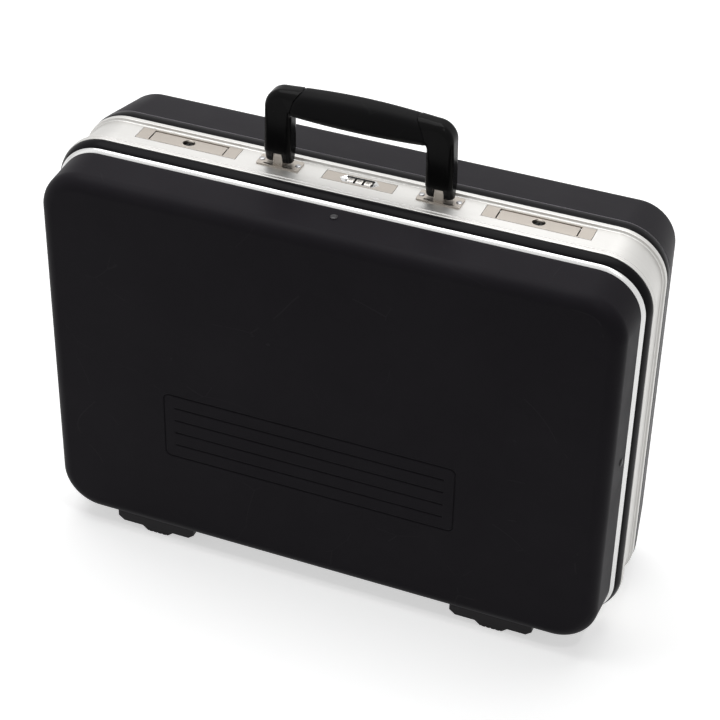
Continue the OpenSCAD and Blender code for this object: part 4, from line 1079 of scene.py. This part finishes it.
class MakeLatches(bpy.types.Operator):
    """Builds both latches: plate, well, lever, key barrel and the steel parts inside."""

    bl_idname = "tool_case.make_latches"
    bl_label = "Latches"

    def execute(self, context):
        d = layout()
        for s, side in SIDES:
            place = lock_place(d, s * d.latch_x)
            self.make_housing(d, side, place)
            self.make_lever(d, side, place)
            self.make_barrel(d, side, place)
            parts = ("latch_pin", "latch_spring", "key_cam", "lid_keeper")
            finish_nodes(*(f"{part}_{side}" for part in parts))
        finish_nodes("lid_keeper_middle")
        return {"FINISHED"}

    def make_barrel(self, d, side, place):
        head, r = d.floor_z - HEAD_LOW, d.key_r
        low = WELL_LOW + 0.2
        barrel = [(0, low), (r, low), (r, head - 0.35), (r - 0.3, head), (1.9, head), (1.7, head - 0.25)]
        barrel.append((0, head - 0.25))
        slot = box(-0.45, 0.45, -2.2, 2.2, head - 2.2, head + 0.4, place)
        add_piece(f"key_barrel_{side}", carved(turned(barrel, place), slot), "key", f"key_{side}",
                  "key_black", f"key_cylinder_{side}", sharp=30)

    def make_housing(self, d, side, place):
        well = oblong(d.well_l / 2, d.well_w / 2)
        top = d.floor_z + 0.12
        plate = prism(rounded_loop(d.latch_l, d.latch_w, 0.8, 3), d.floor_z - 2, top, place, holes=[well])
        half_l, half_w = d.well_l / 2 + 4, d.latch_w / 2
        walls = prism(oblong(half_l, half_w), WELL_LOW, d.floor_z - 2.05, place, holes=[well])
        window = box(-15, 15, -d.latch_w, -d.well_w / 2 + 1, WELL_LOW - 0.4, WELL_LOW + 3.6, place)
        bottom = prism(oblong(half_l, half_w), WELL_LOW - 1.5, WELL_LOW - 0.05, place)
        mesh = joined(plate, carved(walls, window), bottom)
        add_piece(f"latch_plate_{side}", mesh, "lock", "base", "lock_metal", f"latch_housing_{side}",
                  bevel=0.22)

    def make_lever(self, d, side, place):
        half, front, back = d.lever_l / 2 - 0.2, -d.well_w / 2 + 0.4, d.lever_y
        low = d.floor_z - 1.5
        outline = [(-half, front), (half, front), (half, back), (-half, back)]
        plate = prism(outline, low, d.floor_z, place, holes=[eye_outline(d)])
        roll = [(0, -half), (1.3, -half), (1.6, -half + 0.3), (1.6, half - 0.3), (1.3, half), (0, half)]
        roll = turned(roll, Vector(place) + Vector((0, back, d.floor_z - 1.6)), "X", 24)
        claws = [box(x - 2, x + 2, -3.1, -1.5, CLAW_LOW, low + 0.01, place) for x in (-9.5, 9.5)]
        catch = box(5, 6, 2.05, 3, low - 4.6, low + 0.01, place)
        add_piece(f"lever_plate_{side}", joined(plate, roll, *claws, catch), "lock", f"lever_{side}",
                  "lock_metal", f"latch_lever_{side}", bevel=0.2)


# ---- Combination lock ----

DIAL_STEPS = 120  # steps around a dial
DIAL_NOTCHES = 10  # notches in a dial's rims
WINDOW_POINT = 4.0  # length of the window's pointed ends


def dial_mesh(d, x):
    """A dial with rounded, scalloped rims."""
    half = d.dial_w / 2
    stations = [(-half, 5.4), (-half, 7.15), (-half + 0.12, 7.38), (-half + 0.4, 7.5), (-half + 0.75, 7.5)]
    stations += [(-h, r) for h, r in stations[::-1]]
    points = []
    for h, r in stations:
        notched = abs(h) > half - 0.5 and r > 7
        for i in range(DIAL_STEPS):
            a = 2 * math.pi * i / DIAL_STEPS
            cut = 0.45 * max(0.0, math.cos(DIAL_NOTCHES * a)) ** 3 if notched else 0.0
            points.append(on_dial(d, x + h, r - cut, a))
    faces = bands(len(stations), DIAL_STEPS)
    for j in (0, len(stations) - 1):
        faces.append(tuple(j * DIAL_STEPS + i for i in range(DIAL_STEPS)))
    return closed_up(blank_mesh(points, faces))


def on_dial(d, x, r, a):
    """A point at a radius and an angle around the dials' shaft."""
    return (x, d.chan_y + r * math.sin(a), d.top + d.shaft_z + r * math.cos(a))


def digits_mesh(d, x):
    """Ten digits around a dial, each drawn with flat strokes that follow its surface."""
    points, faces = [], []
    r = d.dial_r + 0.02

    def spot(u, v):
        return Vector(((u / DIGIT_GRID[0] - 0.5) * DIGIT_W, (v / DIGIT_GRID[1] - 0.5) * DIGIT_H))

    for digit, strokes in DIGITS.items():
        turn = math.radians(36 * digit)
        for stroke in strokes:
            for start, end in zip(stroke, stroke[1:]):
                a, b = spot(*start), spot(*end)
                way = (b - a).normalized() * DIGIT_T
                side = Vector((-way.y, way.x))
                a, b = a - way, b + way
                pieces = max(1, round((b - a).length / 0.5))
                for i in range(pieces + 1):
                    at = a.lerp(b, i / pieces)
                    points += [on_dial(d, x + p.x, r, turn + p.y / d.dial_r) for p in (at + side, at - side)]
                    if i:
                        n = len(points)
                        faces.append((n - 4, n - 3, n - 1, n - 2))
    return blank_mesh(points, faces)


class MakeCombinationLock(bpy.types.Operator):
    """Builds the combination lock: plate, window rim, body, dials with digits, shaft and detent."""

    bl_idname = "tool_case.make_combination_lock"
    bl_label = "Combination lock"

    def execute(self, context):
        d = layout()
        place = lock_place(d)
        plate = prism(rounded_loop(d.combo_l, d.combo_w, 0.8, 3), d.floor_z - d.combo_t, d.floor_z + 0.08,
                      place, holes=[self.window(d, 0.7)])
        add_piece("lock_plate", plate, "lock", "base", "lock_metal", "combination_plate", bevel=0.2)
        self.make_rim(d, place)
        finish_nodes("combination_housing", "dial_shaft", "dial_detent_spring")
        # A black strip at the rear of the window: painted shadow standing in for the dark gap behind the
        # dials.
        shadow_strip = box(-12.5, 12.5, 3.35, 4.75, d.floor_z - 0.4, d.floor_z - 0.05, place)
        add_piece("painted_shadow_strip", shadow_strip, "key", "base", "key_black", bevel=0.08)
        for i, side in ((-1, "left"), (0, "middle"), (1, "right")):
            body, x = f"dial_{side}", i * d.dial_pitch
            add_piece(f"{body}_wheel", dial_mesh(d, x), "dial", body, "dial_metal", body)
            ink = add_piece(f"{body}_digits", digits_mesh(d, x), "digit", body, "key_black")
            ink.modifiers.clear()
        return {"FINISHED"}

    def window(self, d, grow, share=1.0):
        """The window's six corners, grown on every side, with a share of its length."""
        end, wide = d.window_l / 2 + grow, d.window_w / 2 + grow * 0.6
        shoulder = end - WINDOW_POINT
        half = [(-end, 0), (-shoulder, wide), (shoulder, wide)]
        return [(u * s * share, v * s) for s in (1, -1) for u, v in half]

    def make_rim(self, d, place):
        """The rim around the window: up from the plate, over its edge and down to the dials."""
        points = []
        steps = ((0.65, 1, -0.8), (0.65, 1, 0.3), (0.1, 1, 0.3), (-0.12, 0.74, -1.3), (0.3, 0.8, -1.6))
        for grow, share, z in steps:
            points += [(u, place[1] + v, place[2] + d.floor_z + z) for u, v in self.window(d, grow, share)]
        rim = closed_up(blank_mesh(points, bands(len(steps), 6, closed=True)))
        add_piece("window_rim", rim, "bead", "base", "bright_aluminium", bevel=0.12)


# ---- Feet, hinge and fasteners ----


class MakeFeet(bpy.types.Operator):
    """Builds the four stepped feet and their screws."""

    bl_idname = "tool_case.make_feet"
    bl_label = "Feet"

    def execute(self, context):
        d = layout()
        base = tub_side(-d.base_inset, d.base_draft, d.base_fillet, d.rim_y, d.back_y)
        lid = tub_side(-d.lid_inset, d.lid_draft, d.lid_fillet, d.bead_y0, d.face_y)
        for body, y, profile in (("base", d.back_y - 20, base), ("lid", d.face_y + 17, lid)):
            for s, side in SIDES:
                mesh = self.foot_mesh(d, s * d.foot_x, y, profile)
                add_piece(f"{body}_foot_{side}_skin", mesh, "foot", body, "foot", f"{body}_foot_{side}",
                          bevel=0.7, steps=3, sharp=30)
            finish_nodes(f"{body}_foot_screws")
        return {"FINISHED"}

    def foot_mesh(self, d, x, y, profile):
        """A foot's two steps; its top follows the shell and goes a little into it."""

        def surface(at):
            for (o0, y0), (o1, y1) in zip(profile, profile[1:]):
                if min(y0, y1) - 1e-6 <= at <= max(y0, y1) + 1e-6:
                    return d.stand - (o0 + (o1 - o0) * (at - y0) / (y1 - y0))
            raise RuntimeError("the foot stands beside its shell")

        half, low = d.foot_l / 2, d.foot_l / 2 - FOOT_SLANT
        upper = []
        for at in (y + station for station in FOOT_STATIONS):
            top = surface(at) + 0.8
            slant = min(FOOT_STEP + 4, top - 0.3)
            half_loop = [(low, FOOT_STEP), (half, slant), (half, top)]
            loop = [(-low, FOOT_STEP), *half_loop, (-half, top), (-half, slant)]
            upper.append([(x + u, at, z) for u, z in loop])
        lower = []
        for z, long in ((0, d.foot_pad - 12), (FOOT_STEP - 1, d.foot_pad), (FOOT_STEP + 0.3, d.foot_pad)):
            lower.append([(x + u, y + v, z) for u, v in rounded_loop(long, 18, 2.5, 4)])
        recess = [(0, -1), (4, -1), (4, 3.5), (0, 3.5)]
        cutters = [turned(recess, (x + k, y, 0)) for k in (-5.8, 5.8)]
        cutters += [box(k - 0.5, k + 0.5, -12, 12, -1, 0.6, (x, y, 0)) for k in (-8, -4, 0, 4, 8)]
        return joined(loft(upper), carved(loft(lower), *cutters))


class MakeHinge(bpy.types.Operator):
    """Finishes the long hinge under the case."""

    bl_idname = "tool_case.make_hinge"
    bl_label = "Hinge"

    def execute(self, context):
        parts = ("base_leaf", "lid_leaf", "pin", "base_rivets", "lid_rivets")
        finish_nodes(*(f"hinge_{part}" for part in parts), bevel=0.12)
        return {"FINISHED"}


def rivet_head(r, h, place, axis="Z"):
    """A domed head with a soft rim, and a short shank below its seat."""
    rim = 0.12
    profile = [(0, -1.5), (r * 0.5, -1.5), (r * 0.5, 0), (r, 0), (r, rim)]
    for i in range(1, 9):
        a = math.pi / 2 * i / 8
        profile.append((r * math.cos(a) if i < 8 else 0, rim + (h - rim) * math.sin(a)))
    return turned(profile, place, axis)


class MakeFasteners(bpy.types.Operator):
    """Builds the round rivet heads of the lid, the handle's brackets and the keepers."""

    bl_idname = "tool_case.make_fasteners"
    bl_label = "Rivets"

    def execute(self, context):
        d = layout()
        y, seat = d.bead_y0 - 11, d.lid_inset + 0.1
        side = (d.width / 2 - seat, y, d.mid + 6)
        heads = [rivet_head(d.rivet_r, 1.0, (0, y, d.top - seat)), rivet_head(d.rivet_r, 1.0, side, "X")]
        mirrored = rivet_head(d.rivet_r, 1.0, (0, 0, 0), "X")
        move = Matrix.Translation(Vector((-side[0], *side[1:])) * MM)
        mirrored.transform(move @ Matrix.Rotation(math.pi, 4, "Z"))
        add_piece("lid_rivet_heads", joined(*heads, mirrored), "rivet", "lid", "steel", "lid_rivets")
        heads = []
        for s in BOTH:
            for k in BOTH:
                place = (s * d.leg_x + k * BRACKET_RIVET, d.chan_y, d.top + d.floor_z + PLATE_H)
                heads.append(rivet_head(2.4, 0.88, place))
        add_piece("bracket_rivet_heads", joined(*heads), "steel", "base", "steel", "handle_bracket_rivets")
        finish_nodes("lid_keeper_rivets")
        return {"FINISHED"}


# ---- Stage ----


def seen_directly(tree):
    """1 for rays from the camera, in reflections and through clear pieces, and 0 for all others."""
    path = add_node(tree, "LightPath").outputs
    seen = maths(tree, "MAXIMUM", path["Is Camera Ray"], path["Is Glossy Ray"])
    return maths(tree, "MAXIMUM", seen, path["Is Transmission Ray"])


def combined(tree, kind, first, second, **values):
    """The output of a shader node that takes two shaders."""
    node = add_node(tree, kind, **values)
    for socket, source in zip([s for s in node.inputs if s.type == "SHADER"], (first, second)):
        feed(tree, socket, source.outputs[0])
    return node.outputs[0]


class MakeStage(bpy.types.Operator):
    """Builds the pale floor, the soft studio light and the camera."""

    bl_idname = "tool_case.make_stage"
    bl_label = "Stage"

    def execute(self, context):
        scene = context.scene
        scene.view_settings.view_transform = "Standard"
        self.make_floor(scene)
        self.make_world(scene)
        for name, place, aim, size, power in LAMPS:
            data = bpy.data.lights.new(name, "AREA")
            data.shape = "RECTANGLE"
            data.size, data.size_y = size
            data.energy = power
            lamp = put(name, data)
            lamp.location = place
            lamp.rotation_mode = "QUATERNION"
            lamp.rotation_quaternion = (Vector(aim) - Vector(place)).to_track_quat("-Z", "Y")
        data = bpy.data.cameras.new("camera")
        data.lens, data.sensor_width = CAMERA_LENS, CAMERA_SENSOR
        data.clip_start, data.clip_end = 0.05, 30.0
        camera = put("camera", data)
        right, up = Vector(CAMERA_RIGHT), Vector(CAMERA_UP)
        turn = Matrix((right, up, right.cross(up))).transposed().to_4x4()
        camera.matrix_world = Matrix.Translation(CAMERA_PLACE) @ turn
        scene.camera = camera
        return {"FINISHED"}

    def make_floor(self, scene):
        """A wide floor; to the camera and in reflections it is close to white, and it keeps its shadows."""
        plane = blank_mesh([(x, y, 0) for x, y in oblong(FLOOR_HALF, FLOOR_HALF)], [(0, 1, 2, 3)])
        material = bpy.data.materials.new("pale floor")
        plane.materials.append(material)
        tree = cleared(material)
        cloud = add_node(tree, "TexNoise", Scale=3.0, Detail=2.0).outputs["Fac"]
        tone = scene.case_colours.floor
        clouded = blended(tree, cloud, darker(tone, 0.01), (*tone, 1))
        matt = add_node(tree, "BsdfDiffuse", Color=clouded)
        reach = add_node(tree, "VectorMath", operation="LENGTH", Vector=object_place(tree))
        far = maths(tree, "SUBTRACT", reach.outputs["Value"], GLOW_START)
        far = maths(tree, "MAXIMUM", maths(tree, "DIVIDE", far, GLOW_REACH), 0.0)
        far = maths(tree, "MINIMUM", far, 1.0)
        shine = maths(tree, "ADD", times(tree, far, FAR_GLOW), FLOOR_GLOW)
        shine = times(tree, seen_directly(tree), shine)
        glow = add_node(tree, "Emission", Strength=shine)
        both = combined(tree, "AddShader", matt, glow)
        add_node(tree, "OutputMaterial", Surface=both)
        put("floor", plane)

    def make_world(self, scene):
        """A white surround that gives little light to matt surfaces."""
        world = bpy.data.worlds.new("studio")
        scene.world = world
        tree = cleared(world)
        plain, white = [
            add_node(tree, "Background", Color=(1, 1, 1, 1), Strength=strength)
            for strength in (WORLD_LIGHT, 1.0)
        ]
        both = combined(tree, "MixShader", plain, white, Fac=seen_directly(tree))
        add_node(tree, "OutputWorld", Surface=both)


MAKERS = (
    MakeStage, MakeShells, MakeFrames, MakeHandle, MakeLatches, MakeCombinationLock, MakeFeet, MakeHinge,
    MakeFasteners,
)


class ToolCasePanel(bpy.types.Panel):
    """Sizes, colours and makers of the tool case."""

    bl_idname = "VIEW3D_PT_tool_case"
    bl_label = "Tool case"
    bl_space_type = "VIEW_3D"
    bl_region_type = "UI"
    bl_category = "Tool case"

    def draw(self, context):
        column = self.layout.column()
        for group in (context.scene.case_sizes, context.scene.fitting_sizes, context.scene.case_colours):
            for name in type(group).__annotations__:
                column.prop(group, name)
        for maker in MAKERS:
            column.operator(maker.bl_idname)


CLASSES = (CaseSizes, FittingSizes, CaseColours, *MAKERS, ToolCasePanel)


def register():
    for cls in CLASSES:
        bpy.utils.register_class(cls)
    bpy.types.Scene.case_sizes = bpy.props.PointerProperty(type=CaseSizes)
    bpy.types.Scene.fitting_sizes = bpy.props.PointerProperty(type=FittingSizes)
    bpy.types.Scene.case_colours = bpy.props.PointerProperty(type=CaseColours)


def unregister():
    del bpy.types.Scene.case_sizes, bpy.types.Scene.fitting_sizes, bpy.types.Scene.case_colours
    for cls in reversed(CLASSES):
        bpy.utils.unregister_class(cls)


def main():
    register()
    for maker in MAKERS:
        group, name = maker.bl_idname.split(".")
        getattr(getattr(bpy.ops, group), name)()


if __name__ == "__main__":
    main()
